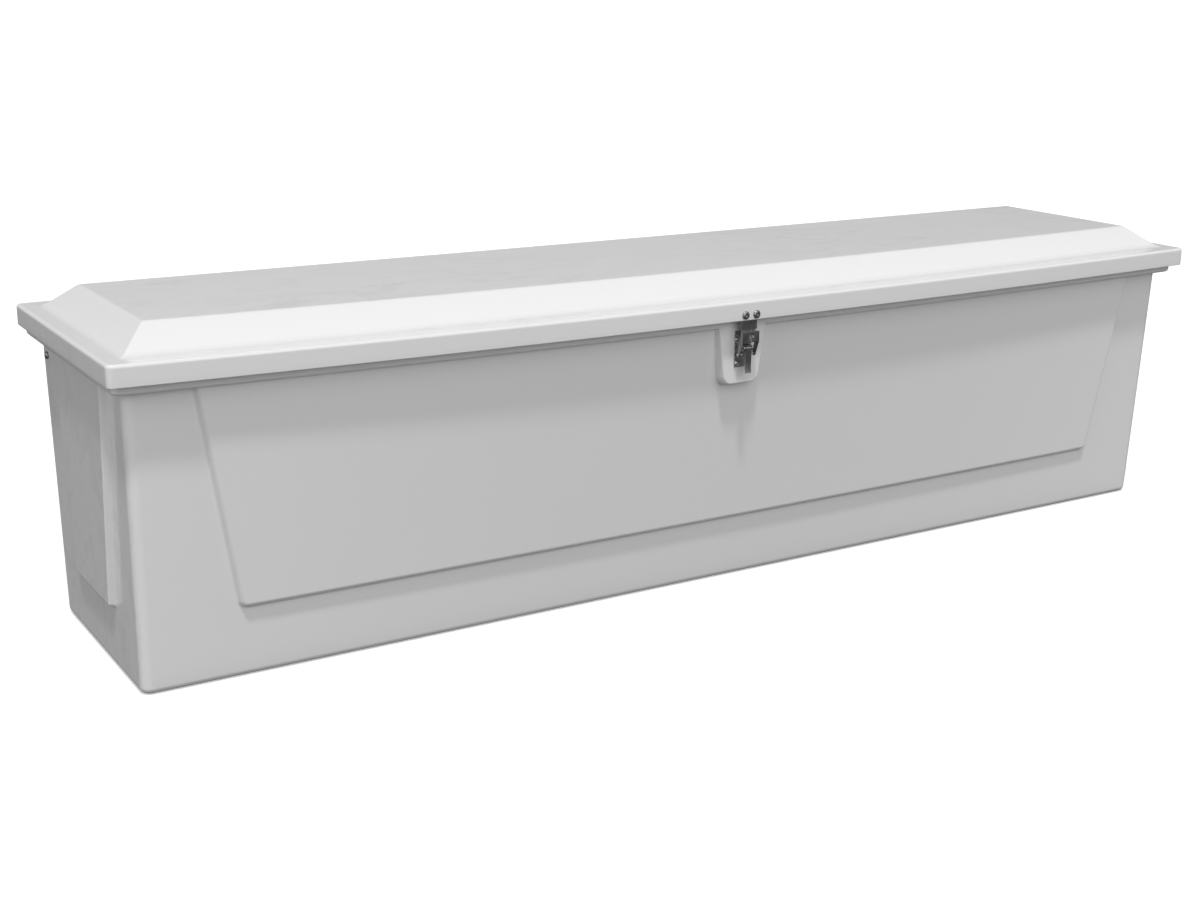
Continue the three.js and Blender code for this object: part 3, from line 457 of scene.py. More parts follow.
def build_lid(outside, inside):
    low, rim, top, edge = LID["bottom"], LID["rim"], LID["top"], LID["edge"]
    rings = [even_ring(z, i) for z, i in [(low, 3.4), (low, 1.6), (low + 0.4, 0.5), (low + 1.6, 0.0)]]
    rings += [even_ring(z, 0.0) for z in (low + 12, rim - edge - 8, rim - edge)]
    rings += [even_ring(z, i) for z, i in quarter(rim - edge, 0.0, rim, edge, 8, True)]
    rings += [even_ring(rim, edge + 1.5), even_ring(rim, edge + 9)]
    foot, brow = 0.2, 0.075
    steps = list(np.linspace(-foot - 0.03, foot, 14)) + [0.3, 0.5, 0.7, 0.85]
    steps += list(np.linspace(0.91, 1.09, 10)) + [1.16]
    for u in steps:
        radius = lerp(MITRE_FOOT, MITRE_RIDGE, clamp(u, 0.0, 1.0))
        rings.append(raised_ring(u, bevel_height(u, rim, top, foot, brow), radius))
    inner_rings = lid_inside()
    stack = inner_rings[::-1] + rings
    tags = [1] * (len(inner_rings) - 1) + [0] * (len(rings) + 1)
    points, faces, marks = loft(stack, LID_COLUMNS, LID_END_COLUMNS, tags=tags)
    add_piece("lid_moulding", points, faces, "lid", [outside, inside], ["lid_shell"], marks)


# ---------------------------------------------------------------- materials
class Recipe:
    """A material's node tree, built a node at a time."""

    def __init__(self, name):
        self.material = bpy.data.materials.new(name)
        self.material.use_nodes = True
        self.tree = self.material.node_tree
        self.shader = self.tree.nodes["Principled BSDF"]
        self.place = self.add("ShaderNodeTexCoord").outputs["Object"]

    def add(self, kind, inputs=None, **settings):
        node = self.tree.nodes.new(kind)
        for key, value in settings.items():
            setattr(node, key, value)
        for key, value in (inputs or {}).items():
            self.set(node.inputs[key], value)
        return node

    def set(self, socket, value):
        if isinstance(value, bpy.types.NodeSocket):
            self.tree.links.new(value, socket)
        else:
            socket.default_value = value

    def principled(self, **inputs):
        for key, value in inputs.items():
            self.set(self.shader.inputs[key.replace("_", " ").title().replace("Ior", "IOR")], value)

    def moved(self, scale=(1, 1, 1), turn=(0, 0, 0)):
        inputs = {"Vector": self.place, "Scale": scale, "Rotation": turn}
        return self.add("ShaderNodeMapping", inputs).outputs[0]

    def noise(self, scale, detail=3.0, rough=0.5, distortion=0.0, vector=None):
        inputs = {"Vector": vector or self.place, "Scale": scale, "Detail": detail, "Roughness": rough,
                  "Distortion": distortion}
        return self.add("ShaderNodeTexNoise", inputs).outputs[0]

    def span(self, value, low, high, to_low=0.0, to_high=1.0):
        inputs = {"Value": value, "From Min": low, "From Max": high, "To Min": to_low, "To Max": to_high}
        return self.add("ShaderNodeMapRange", inputs, clamp=True).outputs[0]

    def math(self, operation, a, b=0.0, c=0.0):
        return self.add("ShaderNodeMath", {0: a, 1: b, 2: c}, operation=operation).outputs[0]

    def blend(self, factor, a, b):
        node = self.add("ShaderNodeMix", data_type="RGBA")
        self.set(node.inputs[0], factor)
        self.set(node.inputs[6], a)
        self.set(node.inputs[7], b)
        return node.outputs[2]

    def bump(self, height, distance, strength=1.0, normal=None):
        inputs = {"Height": height, "Distance": distance, "Strength": strength}
        if normal:
            inputs["Normal"] = normal
        return self.add("ShaderNodeBump", inputs).outputs[0]


def grey(value, tint=(1.0, 1.0, 1.0)):
    return (value * tint[0], value * tint[1], value * tint[2], 1.0)


def gelcoat_material():
    """Glossy white with faint smears, fine scratches and the slight ripple of a moulded skin.

    The wear lies on faces that look up or along the box in the world, so it fades as the lid swings open.
    """
    r = Recipe("gelcoat_white")
    normal = r.add("ShaderNodeSeparateXYZ", {"Vector": r.add("ShaderNodeNewGeometry").outputs["Normal"]})
    flat = r.span(normal.outputs["Z"], 0.93, 0.985, 0.04, 1.0)
    end = r.span(r.math("ABSOLUTE", normal.outputs["X"]), 0.6, 0.9, 0.0, 1.0)
    worn = r.math("MAXIMUM", flat, end)
    smear = r.span(r.noise(6.3, 8.0, 0.68, 1.6, r.moved((1, 2.2, 1.6))), 0.5, 0.66)
    patch = r.span(r.noise(1.9, 2.0), 0.36, 0.52)
    smear = r.math("MULTIPLY", r.math("MULTIPLY", smear, patch), worn)
    scratch = None
    for scale, turn, where in ((2.3, (0.2, 0.3, 0.5), 2.7), (3.7, (0.5, 1.1, -0.7), 3.9)):
        lines = r.noise(scale, 2.0, 0.4, 0.5, r.moved((1.3, 7.0, 5.0), turn))
        thin = r.span(r.math("ABSOLUTE", r.math("SUBTRACT", lines, 0.5)), 0.0, 0.0045, 1.0, 0.0)
        thin = r.math("MULTIPLY", thin, r.span(r.noise(where, 4.0, 0.6), 0.47, 0.6))
        scratch = thin if scratch is None else r.math("MAXIMUM", scratch, thin)
    scratch = r.math("MULTIPLY", scratch, worn)
    tone = r.blend(r.math("MULTIPLY", smear, 0.75), grey(0.81), grey(0.72))
    tone = r.blend(r.math("MULTIPLY", scratch, 0.4), tone, grey(0.6))
    peel = r.bump(r.noise(420.0, 2.0, 0.5), 0.00002, 0.5)
    wave = r.bump(r.noise(3.4, 1.0, 0.4), 0.0016, 0.35, peel)
    haze = r.span(r.noise(7.0, 5.0, 0.6), 0.35, 0.7, 0.14, 0.17)
    rough = r.math("ADD", haze, r.math("MULTIPLY", scratch, 0.02))
    r.principled(base_color=tone, roughness=rough, normal=wave, ior=1.5)
    return r.material


def interior_material():
    r = Recipe("gelcoat_interior")
    cells = r.add("ShaderNodeTexVoronoi", {"Vector": r.place, "Scale": 190.0, "Randomness": 1.0})
    pick = r.add("ShaderNodeSeparateColor", {"Color": cells.outputs["Color"]})
    fleck = r.math("MULTIPLY", r.span(cells.outputs["Distance"], 0.18, 0.3, 1.0, 0.0),
                   r.math("GREATER_THAN", pick.outputs[0], 0.72))
    dark = r.math("GREATER_THAN", pick.outputs[1], 0.6)
    tone = r.blend(r.span(r.noise(9.0, 4.0), 0.35, 0.65), grey(0.60), grey(0.53))
    fleck_tone = r.blend(dark, grey(0.33), grey(0.14))
    tone = r.blend(fleck, tone, fleck_tone)
    strands = r.bump(r.noise(70.0, 5.0, 0.6, 0.8, r.moved((1, 1, 0.7))), 0.0009, 0.6)
    r.principled(base_color=tone, roughness=r.span(r.noise(40.0), 0.3, 0.7, 0.42, 0.6), normal=strands)
    return r.material


# ---------------------------------------------------------------- stage
# The photograph's view: sensor and lens in millimetres, place in metres, angles in degrees.
CAMERA = dict(sensor=36.0, lens=51.391, shift=(-0.00553, -0.00407), place=(-1.9240, -2.8353, 1.1901),
              azimuth=32.067, down=15.787, roll=0.774)


def make_camera():
    data = bpy.data.cameras.new("camera")
    data.sensor_width, data.lens = CAMERA["sensor"], CAMERA["lens"]
    data.shift_x, data.shift_y = CAMERA["shift"]
    data.clip_start, data.clip_end = 0.05, 500.0
    camera = bpy.data.objects.new("camera", data)
    azimuth, down, roll = (math.radians(CAMERA[angle]) for angle in ("azimuth", "down", "roll"))
    away = Vector((math.sin(azimuth) * math.cos(down), math.cos(azimuth) * math.cos(down), -math.sin(down)))
    right = away.cross(Vector((0, 0, 1))).normalized()
    up = right.cross(away)
    right, up = right * math.cos(roll) + up * math.sin(roll), up * math.cos(roll) - right * math.sin(roll)
    rows = [[right[i], up[i], -away[i], CAMERA["place"][i]] for i in range(3)]
    camera.matrix_world = Matrix(rows + [[0, 0, 0, 1]])
    bpy.context.scene.collection.objects.link(camera)
    bpy.context.scene.camera = camera


SKY_UP, SKY_DOWN, SKY_BLEND = 0.21, 0.089, 0.1
# Each sun's name, azimuth, elevation, strength and softness. Those not reflected only lift the shaded sides.
SUNS = [("key", -30, 69.5, 1.54, 5), ("left", -90, 15, 0.94, 60), ("front", 0, 25, 1.38, 70),
        ("back", 180, 14, 0.75, 60), ("right", 90, 12, 0.55, 60)]
REFLECTED_SUNS = ("key", "left", "front")


def add_sun(name, azimuth, elevation, strength, softness):
    """A soft distant light. Azimuth 0 shines from the front and 90 from the right end."""
    data = bpy.data.lights.new(name, "SUN")
    data.energy, data.angle = strength, math.radians(softness)
    sun = bpy.data.objects.new(name, data)
    a, e = math.radians(azimuth), math.radians(elevation)
    source = Vector((math.sin(a) * math.cos(e), -math.cos(a) * math.cos(e), math.sin(e)))
    sun.visible_glossy = name in REFLECTED_SUNS
    sun.rotation_mode = "QUATERNION"
    sun.rotation_quaternion = (-source).to_track_quat("-Z", "Y")
    bpy.context.scene.collection.objects.link(sun)


def make_lights():
    world = bpy.data.worlds.new("studio")
    bpy.context.scene.world = world
    world.use_nodes = True
    tree = world.node_tree
    place = tree.nodes.new("ShaderNodeTexCoord")
    split = tree.nodes.new("ShaderNodeSeparateXYZ")
    tree.links.new(place.outputs["Generated"], split.inputs[0])
    blend = tree.nodes.new("ShaderNodeMapRange")
    limits = {"From Min": -SKY_BLEND, "From Max": SKY_BLEND, "To Min": SKY_DOWN, "To Max": SKY_UP}
    for socket, value in limits.items():
        blend.inputs[socket].default_value = value
    tree.links.new(split.outputs["Z"], blend.inputs["Value"])
    tree.links.new(blend.outputs[0], tree.nodes["Background"].inputs["Strength"])
    tree.nodes["Background"].inputs["Color"].default_value = (1, 1, 1, 1)
    for sun in SUNS:
        add_sun(*sun)


def stage_piece(name, points, faces, material, casts_shadow):
    """Part of the studio: seen by the camera, but it throws no light back on the box."""
    mesh = bpy.data.meshes.new(name)
    mesh.from_pydata(points, [], faces)
    mesh.materials.append(material)
    piece = bpy.data.objects.new(name, mesh)
    piece.visible_diffuse = False
    piece.visible_glossy = False
    piece.visible_shadow = casts_shadow
    bpy.context.scene.collection.objects.link(piece)


def make_backdrop():
    """A pale round wall standing on the floor, far out, so that no view ends in the dark sky."""
    r = Recipe("backdrop_pale")
    tone = r.blend(r.noise(0.3, 2.0), grey(0.99), grey(1.0))
    r.principled(base_color=grey(0.0), roughness=1.0, emission_color=tone, emission_strength=1.0)
    r.material.cycles.emission_sampling = "NONE"
    radius, height, count = 75.0, 60.0, 64
    points, faces = [], []
    for i in range(count):
        a = 2 * math.pi * i / count
        points += [(radius * math.cos(a), radius * math.sin(a), z) for z in (-1.0, height)]
        j = (i + 1) % count
        faces.append((2 * i, 2 * i + 1, 2 * j + 1, 2 * j))
    stage_piece("backdrop", points, faces, r.material, False)


def make_floor():
    r = Recipe("floor_pale")
    tone = r.blend(r.noise(0.7, 3.0), grey(0.86), grey(0.88))
    r.principled(base_color=tone, roughness=0.9)
    r.principled(emission_color=grey(1.0), emission_strength=0.3)
    r.material.cycles.emission_sampling = "NONE"
    size, z = 160.0, CAD_LOW.z - 0.0005
    points = [(-size, -size, z), (size, -size, z), (size, size, z), (-size, size, z)]
    stage_piece("floor", points, [(0, 1, 2, 3)], r.material, True)


# ---------------------------------------------------------------- small turned and folded pieces
ROUND, HEX, CROSS = 0, 1, 2
TURN_STEPS, DOME_STEPS = 48, 6
# Shank, head and socket are radii, and length, height and depth run along the axis.
HINGE_SCREW = dict(shank=2.0, length=7.0, head=4.0, height=2.0, socket=1.9, kind=CROSS, depth=0.9)
KEEPER_SCREW = dict(shank=2.5, length=13.0, head=7.8, height=3.6, socket=2.6, kind=HEX, depth=2.0)
LATCH_SCREW = dict(shank=2.2, length=12.0, head=4.0, height=2.2, socket=2.0, kind=CROSS, depth=1.0)
RAIL_BOLT = dict(shank=4.0, length=34.0, head=7.0, height=4.5, socket=2.5, kind=HEX, depth=1.6)
STRUT_SCREW = dict(shank=2.0, length=5.0, head=3.8, height=2.0, socket=1.8, kind=CROSS, depth=0.9)


def outline_factor(kind, turn):
    """How far out a shape reaches at each angle, next to a circle."""
    if kind == HEX:
        return math.cos(math.pi / 6) / np.cos(np.mod(turn, math.pi / 3) - math.pi / 6)
    if kind == CROSS:
        return 0.38 + 0.62 * np.abs(np.cos(2 * turn)) ** 5
    return 1.0 + 0 * turn


def turned(profile, start, axis, steps=TURN_STEPS):
    """A closed body turned about an axis. Profile points are (along, radius) or (along, radius, shape)."""
    axis = np.asarray(axis, float) / np.linalg.norm(axis)
    side = np.cross(axis, (0.0, 0.0, 1.0) if abs(axis[2]) < 0.9 else (1.0, 0.0, 0.0))
    side /= np.linalg.norm(side)
    other = np.cross(axis, side)
    turn = np.linspace(0, 2 * math.pi, steps, endpoint=False)
    start = np.asarray(start, float)
    rings, faces = [], []
    for point in profile:
        radius = point[1] * outline_factor(point[2] if len(point) > 2 else ROUND, turn)
        spoke = np.cos(turn)[:, None] * side + np.sin(turn)[:, None] * other
        rings.append(start + axis * point[0] + spoke * radius[:, None])
    for a in range(len(rings) - 1):
        for i in range(steps):
            j = (i + 1) % steps
            faces.append((a * steps + i, a * steps + j, (a + 1) * steps + j, (a + 1) * steps + i))
    total = len(rings) * steps
    points = np.concatenate(rings + [[start + axis * profile[0][0], start + axis * profile[-1][0]]])
    last = (len(rings) - 1) * steps
    for i in range(steps):
        j = (i + 1) % steps
        faces.append((j, i, total))
        faces.append((last + i, last + j, total + 1))
    return points, faces


def round_box(low, high, radius, segments=3):
    """A closed box with rounded edges."""
    bm = bmesh.new()
    bmesh.ops.create_cube(bm, size=1.0)
    low, high = Vector(low), Vector(high)
    for v in bm.verts:
        v.co = Vector([lerp(low[i], high[i], v.co[i] + 0.5) for i in range(3)])
    bmesh.ops.bevel(bm, geom=bm.edges[:], offset=radius, segments=segments, profile=0.5, affect="EDGES")
    bm.verts.index_update()
    points = np.array([v.co[:] for v in bm.verts])
    faces = [tuple(v.index for v in f.verts) for f in bm.faces]
    bm.free()
    return points, faces


def together(parts):
    """Several closed bodies as one list of points and faces."""
    points, faces, total = [], [], 0
    for part_points, part_faces in parts:
        points.append(part_points)
        faces += [tuple(i + total for i in f) for f in part_faces]
        total += len(part_points)
    return np.concatenate(points), faces


def domed_fastener(shank, length, head, height, socket, kind, depth):
    """A profile that runs from the tip of the shank to the middle of the drive recess."""
    tip = [(-length, shank * 0.7), (-length + shank * 0.4, shank), (-0.05, shank), (0.0, head - 0.4)]
    brow = height * 0.32
    dome = [(0.35, head), (brow, head)]
    for i in range(1, DOME_STEPS + 1):
        a = math.pi / 2 * i / DOME_STEPS
        dome.append((lerp(brow, height, math.sin(a)), lerp(head, socket + 0.7, 1 - math.cos(a))))
    recess = [(height, socket + 0.25), (height - 0.15, socket, kind), (height - depth, socket * 0.96, kind),
              (height - depth - 0.2, socket * 0.8, kind)]
    return tip + dome + recess


def add_fastener(name, body, profile, place, axis, material, node):
    points, faces = turned(profile, place, axis)
    add_piece(name, points, faces, body, material, [node], sharp=38.0, weighted=False)


def rod_profile(radius, length, edge=0.6):
    near = [(0.0, radius - edge), (edge * 0.3, radius - edge * 0.3), (edge, radius)]
    return near + [(length - along, r) for along, r in reversed(near)]


# ---------------------------------------------------------------- seal, hinge and ledge
SEAL_COLUMNS, SEAL_END_COLUMNS = 90, 16


def rim_line(z, inset):
    plan = (TUB["half_top"] + RIM_OUT - inset, TUB["front_top"] - RIM_OUT + inset,
            TUB["back_top"] + RIM_BACK_OUT - inset, max(RIM_CORNER - inset, 1.5))
    front_x = np.linspace(plan[3] - plan[0], plan[0] - plan[3], SEAL_COLUMNS)
    end_y = np.linspace(plan[1] + plan[3], plan[2] - plan[3], SEAL_END_COLUMNS)
    return ring(plan, z, front_x, end_y, bow=(TUB["crown"], TUB["half_top"], TUB["back_top"]))


def build_seal(material):
    """A bulb on a flat foot, drawn round its section."""
    middle, bulb, height, low = 14.0, 4.4, 9.4, RIM_TOP + GAP
    start, sweep, steps = 215, 250, 12
    section = [(8.6, low), (8.0, low + 0.6), (8.3, low + 1.4), (10.4, low + 1.7)]
    centre = low + height - bulb
    for i in range(steps + 1):
        a = math.radians(start - i * sweep / steps)
        section.append((middle + bulb * math.cos(a), centre + bulb * math.sin(a)))
    section += [(17.6, low + 1.7), (19.7, low + 1.4), (20.0, low + 0.6), (19.4, low)]
    rings = [rim_line(z, inset) for inset, z in section]
    points, faces, _ = loft(rings, SEAL_COLUMNS, SEAL_END_COLUMNS, caps=False, closed=True)
    add_piece("rim_gasket", points, faces, "tub", material, ["rim_seal"], sharp=50.0)


def build_ledge(material):
    low = (-LEDGE["half"], LEDGE["front"], LEDGE["bottom"])
    high = (LEDGE["half"], LID["depth"], LEDGE["top"])
    points, faces = round_box(low, high, LEDGE["edge"], 4)
    add_piece("hinge_ledge", points, faces, "tub", material, sharp=70.0)


KNUCKLE_GAP = 0.5
HINGE_SCREWS = dict(count=6, half=1081.0, y=569.1, z=dict(tub=531.2, lid=558.0))


def build_leaf(side, body, node, material):
    """One leaf of the piano hinge: a thin plate and every second knuckle."""
    h = HINGE
    pitch = 2 * h["half"] / h["knuckles"]
    front = h["y"] - h["radius"]
    edge, far = h["z"] + side * (h["radius"] + 0.6), h["z"] + side * h["leaf"]
    low, high = sorted((edge, far))
    parts = [round_box((-h["half"], front, low), (h["half"], front + h["thick"], high), 0.5, 2)]
    width = pitch - 2 * KNUCKLE_GAP
    for i in range(h["knuckles"]):
        if (i % 2 == 0) != (side < 0):
            continue
        start = -h["half"] + i * pitch + KNUCKLE_GAP
        profile = rod_profile(h["radius"], width, 0.5)
        parts.append(turned(profile, (start, h["y"], h["z"]), (1, 0, 0), 28))
        z0, z1 = sorted((h["z"] + side * 0.5, edge + side * 1.5))
        parts.append(round_box((start, front, z0), (start + width, front + h["thick"], z1), 0.2, 1))
    points, faces = together(parts)
    add_piece(node + "_formed", points, faces, body, material, [node], sharp=45.0)


def build_hinge(material):
    build_leaf(-1, "tub", "hinge_leaf_tub", material)
    build_leaf(1, "lid", "hinge_leaf_lid", material)
    half = HINGE["half"] + 2
    wire = rod_profile(HINGE["pin"], 2 * half, 0.4)
    points, faces = turned(wire, (-half, HINGE["y"], HINGE["z"]), (1, 0, 0), 20)
    add_piece("hinge_wire", points, faces, "tub", material, ["hinge_pin"], sharp=45.0)
    profile = domed_fastener(**HINGE_SCREW)
    last = HINGE_SCREWS["count"] - 1
    for body, z in HINGE_SCREWS["z"].items():
        for i in range(HINGE_SCREWS["count"]):
            place = (HINGE_SCREWS["half"] * (2 * i / last - 1), HINGE_SCREWS["y"], z)
            node = f"hinge_screw_{body}_{i + 1}"
            add_fastener(node + "_turned", body, profile, place, (0, 1, 0), material, node)


# ---------------------------------------------------------------- latch fasteners and pins
# Each pin's distance out from the pad's face, height, half length, and the body that carries it.
LATCH_PINS = [("lever_pin", 17.0, 490.0, 10.7, "tub"), ("bail_pin", 13.8, 478.1, 19.5, "lever")]
KEEPER_SCREWS = dict(x=12.5, z=555.5)
LATCH_SCREWS = dict(x=14.0, z=(459.0, 505.0), out=2.6)


def pin_profile(half, radius=2.2, head=3.5, thick=1.4):
    near = [(-half - thick, head - 1.3), (-half - thick + 0.3, head - 0.4), (-half - 0.5, head)]
    near += [(-half - 0.1, head - 0.2), (-half, radius)]
    return near + [(-a, r) for a, r in reversed(near)]


def build_latch_metal(steel, dark):
    """The latch's pins, and the screws of its keeper and its plate. The keeper screws take the darkened
    steel, whose colour is a painted dark reflection.
    """
    for name, out, z, half, body in LATCH_PINS:
        points, faces = turned(pin_profile(half), (LATCH_X, PAD_FACE - out, z), (1, 0, 0), 32)
        add_piece(name + "_turned", points, faces, body, steel, [name], sharp=40.0,
                  weighted=False)
    profile = domed_fastener(**KEEPER_SCREW)
    for side, sign in SIDES:
        node = f"keeper_screw_{side}"
        place = (LATCH_X + sign * KEEPER_SCREWS["x"], -LID["crown"] - GAP, KEEPER_SCREWS["z"])
        add_fastener(node + "_turned", "lid", profile, place, (0, -1, 0), dark, node)
    profile = domed_fastener(**LATCH_SCREW)
    places = [(sign * LATCH_SCREWS["x"], z) for z in LATCH_SCREWS["z"] for _, sign in SIDES]
    for i, (x, z) in enumerate(places):
        node = f"latch_screw_{i + 1}"
        place = (LATCH_X + x, PAD_FACE - LATCH_SCREWS["out"], z)
        add_fastener(node + "_turned", "tub", profile, place, (0, -1, 0), steel, node)


def wall_half(z):
    return lerp(TUB["half_base"], TUB["half_top"], tub_lift(z))


RAIL_BOLT_Y, RAIL_BOLT_Z, RAIL_BOLT_SEAT = 500.0, 497.0, 0.4


def build_end_bolts(dark):
    # The bolts take the darkened steel, whose colour is a painted dark reflection.
    profile = domed_fastener(**RAIL_BOLT)
    for side, sign in SIDES:
        node = f"rail_bolt_{side}"
        place = (sign * (wall_half(RAIL_BOLT_Z) + RAIL_BOLT_SEAT), RAIL_BOLT_Y, RAIL_BOLT_Z)
        add_fastener(node + "_turned", "tub", profile, place, (sign, 0, 0), dark, node)


# ---------------------------------------------------------------- gas struts
STRUT_LOW, STRUT_HIGH, STRUT_X = (341.5, 334.6), (481.5, 544.6), 1152.0
STRUT_PLATE = dict(wall_z=309.6, thick=3.0, screw_rise=17.0)  # the tub's bracket, on the inner wall


def strut_place(sign, along):
    length = math.dist(STRUT_LOW, STRUT_HIGH)
    return (sign * STRUT_X, lerp(STRUT_LOW[0], STRUT_HIGH[0], along / length),
            lerp(STRUT_LOW[1], STRUT_HIGH[1], along / length))


def build_strut(side, sign, paint, chrome, steel):
    axis = (0.0, STRUT_HIGH[0] - STRUT_LOW[0], STRUT_HIGH[1] - STRUT_LOW[1])
    length = math.dist(STRUT_LOW, STRUT_HIGH)
    foot, top = strut_place(sign, 0), strut_place(sign, length)
    eye = [(-4.0, 7.2), (-3.6, 8.0), (3.6, 8.0), (4.0, 7.2)]
    barrel = [(16.0, 5.0), (16.4, 7.4), (18.0, 9.0), (172.0, 9.0), (173.5, 8.4), (174.2, 7.4), (175.4, 7.0),
              (176.0, 5.4)]
    neck = [(2.0, 4.4), (8.0, 4.6), (12.0, 5.0), (17.5, 5.2)]
    tube_parts = [turned(barrel, foot, axis), turned(neck, foot, axis), turned(eye, foot, (1, 0, 0))]
    points, faces = together(tube_parts)
    name = f"strut_tube_{side}"
    add_piece(name + "_turned", points, faces, name, paint, [name], sharp=38.0,
              weighted=False)
    rod = [(28.0, 3.4), (28.6, 4.0), (length - 6.0, 4.0), (length - 5.0, 3.8)]
    collar = [(length - 26.0, 4.6), (length - 25.2, 5.5), (length - 8.0, 5.5), (length - 4.0, 4.6)]
    stud = turned(rod_profile(3.2, 5.5, 0.5), (sign * (STRUT_X - 3.0), *STRUT_HIGH), (-sign, 0, 0))
    rod_parts = [turned(rod, foot, axis), turned(collar, foot, axis), turned(eye, top, (1, 0, 0)), stud]
    points, faces = together(rod_parts)
    name = f"strut_rod_{side}"
    add_piece(name + "_turned", points, faces, name, chrome, [name], sharp=38.0,
              weighted=False)
    profile = domed_fastener(**STRUT_SCREW)
    face = wall_half(STRUT_PLATE["wall_z"]) - WALL - GAP - STRUT_PLATE["thick"] - GAP
    for i, way in enumerate((-1, 1)):
        node = f"strut_screw_{side}_{i + 1}"
        place = (sign * face, STRUT_LOW[0], STRUT_LOW[1] + way * STRUT_PLATE["screw_rise"])
        add_fastener(node + "_turned", "tub", profile, place, (-sign, 0, 0), steel, node)


# ---------------------------------------------------------------- CAD pieces that keep their shape
WELD_M, SHARP_DEGREES = 0.00001, 38


def dress(node, material, edge, segments=2):
    """Gives a CAD piece its material and softens its edges."""
    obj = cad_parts[node]
    obj.data.materials.clear()
    obj.data.materials.append(material)
    weld = obj.modifiers.new("weld", "WELD")
    weld.merge_threshold = WELD_M
    bevel = obj.modifiers.new("edges", "BEVEL")
    bevel.width, bevel.segments = edge * 0.001, segments
    bevel.limit_method, bevel.angle_limit = "ANGLE", math.radians(SHARP_DEGREES)
    bevel.use_clamp_overlap = True
    normals = obj.modifiers.new("normals", "WEIGHTED_NORMAL")
    normals.weight = NORMAL_WEIGHT


def steel_material(name, light, dark, rough, stroke=(1.0, 30.0, 30.0)):
    """Brushed metal: fine strokes, cloudy patches of tone and a few brighter scuffs."""
    r = Recipe(name)
    strokes = r.noise(40.0, 4.0, 0.6, 0.0, r.moved(stroke))
    cloud = r.span(r.noise(55.0, 4.0, 0.6, 0.6), 0.35, 0.68)
    tone = r.blend(cloud, grey(dark, (0.98, 0.99, 1.0)), grey(light, (0.99, 1.0, 1.0)))
    scuff = r.span(r.noise(160.0, 5.0, 0.7), 0.62, 0.7)
    tone = r.blend(r.math("MULTIPLY", scuff, 0.5), tone, grey(min(light * 1.7, 0.85)))
    ramped = r.span(strokes, 0.3, 0.7, rough - 0.07, rough + 0.1)
    r.principled(base_color=tone, metallic=1.0, roughness=ramped, normal=r.bump(strokes, 0.00003, 0.6))
    return r.material


def rubber_material():
    r = Recipe("seal_rubber")
    dust = r.span(r.noise(30.0, 5.0, 0.6), 0.45, 0.75)
    tone = r.blend(dust, grey(0.022), grey(0.055))
    grain = r.noise(900.0, 2.0)
    rough = r.span(dust, 0, 1, 0.5, 0.72)
    r.principled(base_color=tone, roughness=rough, normal=r.bump(grain, 0.00004, 0.5))
    return r.material


def timber_material():
    r = Recipe("rail_timber")
    grain = r.noise(14.0, 6.0, 0.6, 1.5, r.moved((0.12, 3.0, 3.0)))
    pores = r.noise(260.0, 3.0, 0.5, 0.0, r.moved((0.05, 1.0, 1.0)))
    tone = r.blend(r.span(grain, 0.35, 0.65), (0.33, 0.2, 0.1, 1.0), (0.52, 0.36, 0.2, 1.0))
    tone = r.blend(r.span(pores, 0.58, 0.7, 0.0, 0.7), tone, (0.17, 0.09, 0.045, 1.0))
    height = r.math("ADD", r.math("MULTIPLY", grain, 0.5), pores)
    rough = r.span(pores, 0.3, 0.7, 0.5, 0.72)
    r.principled(base_color=tone, roughness=rough, normal=r.bump(height, 0.0003, 0.7))
    return r.material


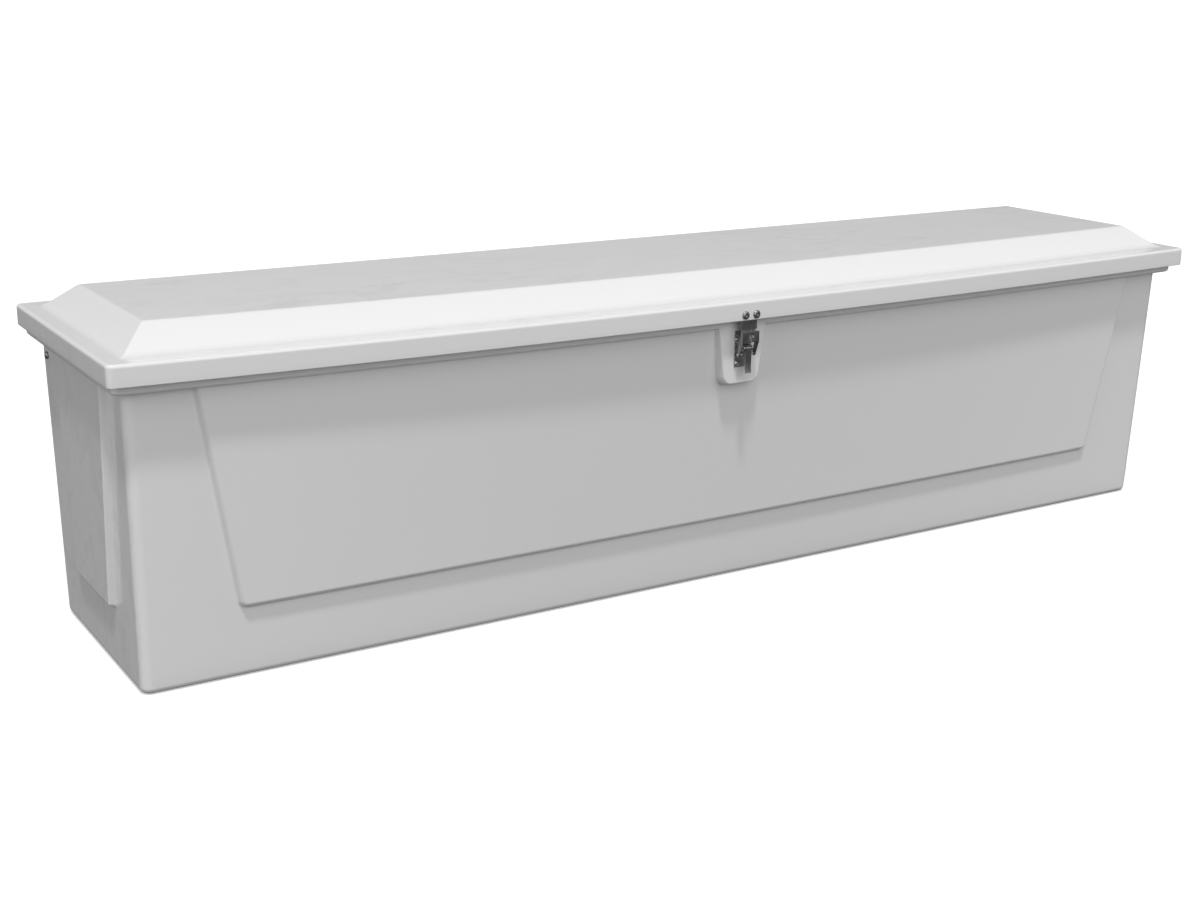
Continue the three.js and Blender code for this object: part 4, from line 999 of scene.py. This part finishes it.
def core_material():
    r = Recipe("stringer_core")
    strands = r.noise(120.0, 5.0, 0.65, 1.0)
    light, dark = grey(0.58, (1.0, 0.98, 0.92)), grey(0.42, (1.0, 0.98, 0.88))
    tone = r.blend(r.span(strands, 0.38, 0.64), dark, light)
    rough = r.span(strands, 0.3, 0.7, 0.35, 0.6)
    r.principled(base_color=tone, roughness=rough, normal=r.bump(strands, 0.0006, 0.6))
    return r.material


def paint_material():
    r = Recipe("strut_black")
    wear = r.span(r.noise(70.0, 5.0, 0.65), 0.55, 0.75)
    tone = r.blend(wear, grey(0.018), grey(0.04))
    rough = r.span(wear, 0, 1, 0.28, 0.45)
    r.principled(base_color=tone, roughness=rough, normal=r.bump(r.noise(700.0), 0.00003, 0.5))
    return r.material


def chrome_material():
    r = Recipe("strut_chrome")
    film = r.span(r.noise(90.0, 4.0, 0.6), 0.4, 0.7)
    tone = r.blend(film, grey(0.72), grey(0.6))
    rough = r.span(film, 0, 1, 0.08, 0.2)
    lines = r.noise(1200.0, 2.0, 0.5, 0.0, r.moved((1, 1, 0.05)))
    r.principled(base_color=tone, metallic=1.0, roughness=rough, normal=r.bump(lines, 0.00001, 0.4))
    return r.material


GELCOAT = gelcoat_material()
INTERIOR = interior_material()
build_tub(GELCOAT, INTERIOR)
build_lid(GELCOAT, INTERIOR)
STEEL = steel_material("stainless", 0.78, 0.6, 0.24)
# A darker copy of the stainless. Its low base colour is a painted dark reflection: it stands in for the dark
# surroundings that the polished steel mirrors. It serves the latch, the keeper screws and the end bolts.
STEEL_PAINTED_DARK_REFLECTION = steel_material("latch_steel", 0.4, 0.27, 0.3, (30.0, 30.0, 1.5))
build_ledge(GELCOAT)
build_seal(rubber_material())
build_hinge(STEEL)
build_latch_metal(STEEL, STEEL_PAINTED_DARK_REFLECTION)
build_end_bolts(STEEL_PAINTED_DARK_REFLECTION)
PAINT, CHROME = paint_material(), chrome_material()
for strut_side, strut_sign in SIDES:
    build_strut(strut_side, strut_sign, PAINT, CHROME, STEEL)
    dress(f"strut_bracket_tub_{strut_side}", STEEL, 0.5)
    dress(f"strut_bracket_lid_{strut_side}", STEEL, 0.5)
    dress(f"keeper_nut_{strut_side}", STEEL, 0.4)
dress("latch_base", STEEL, 0.35)
dress("latch_backing_plate", STEEL, 0.6)
# The lever, bail and keeper take the darkened steel, whose colour is a painted dark reflection.
for latch_node in ("latch_lever", "latch_bail", "latch_keeper"):
    dress(latch_node, STEEL_PAINTED_DARK_REFLECTION, 0.5, 3)
dress("back_rail", timber_material(), 2.0, 3)
CORE = core_material()
for stringer in range(1, 4):
    dress(f"lid_stringer_{stringer}", CORE, 3.0, 3)
make_camera()
make_lights()
make_floor()
make_backdrop()
bpy.context.scene.view_settings.view_transform = "Standard"
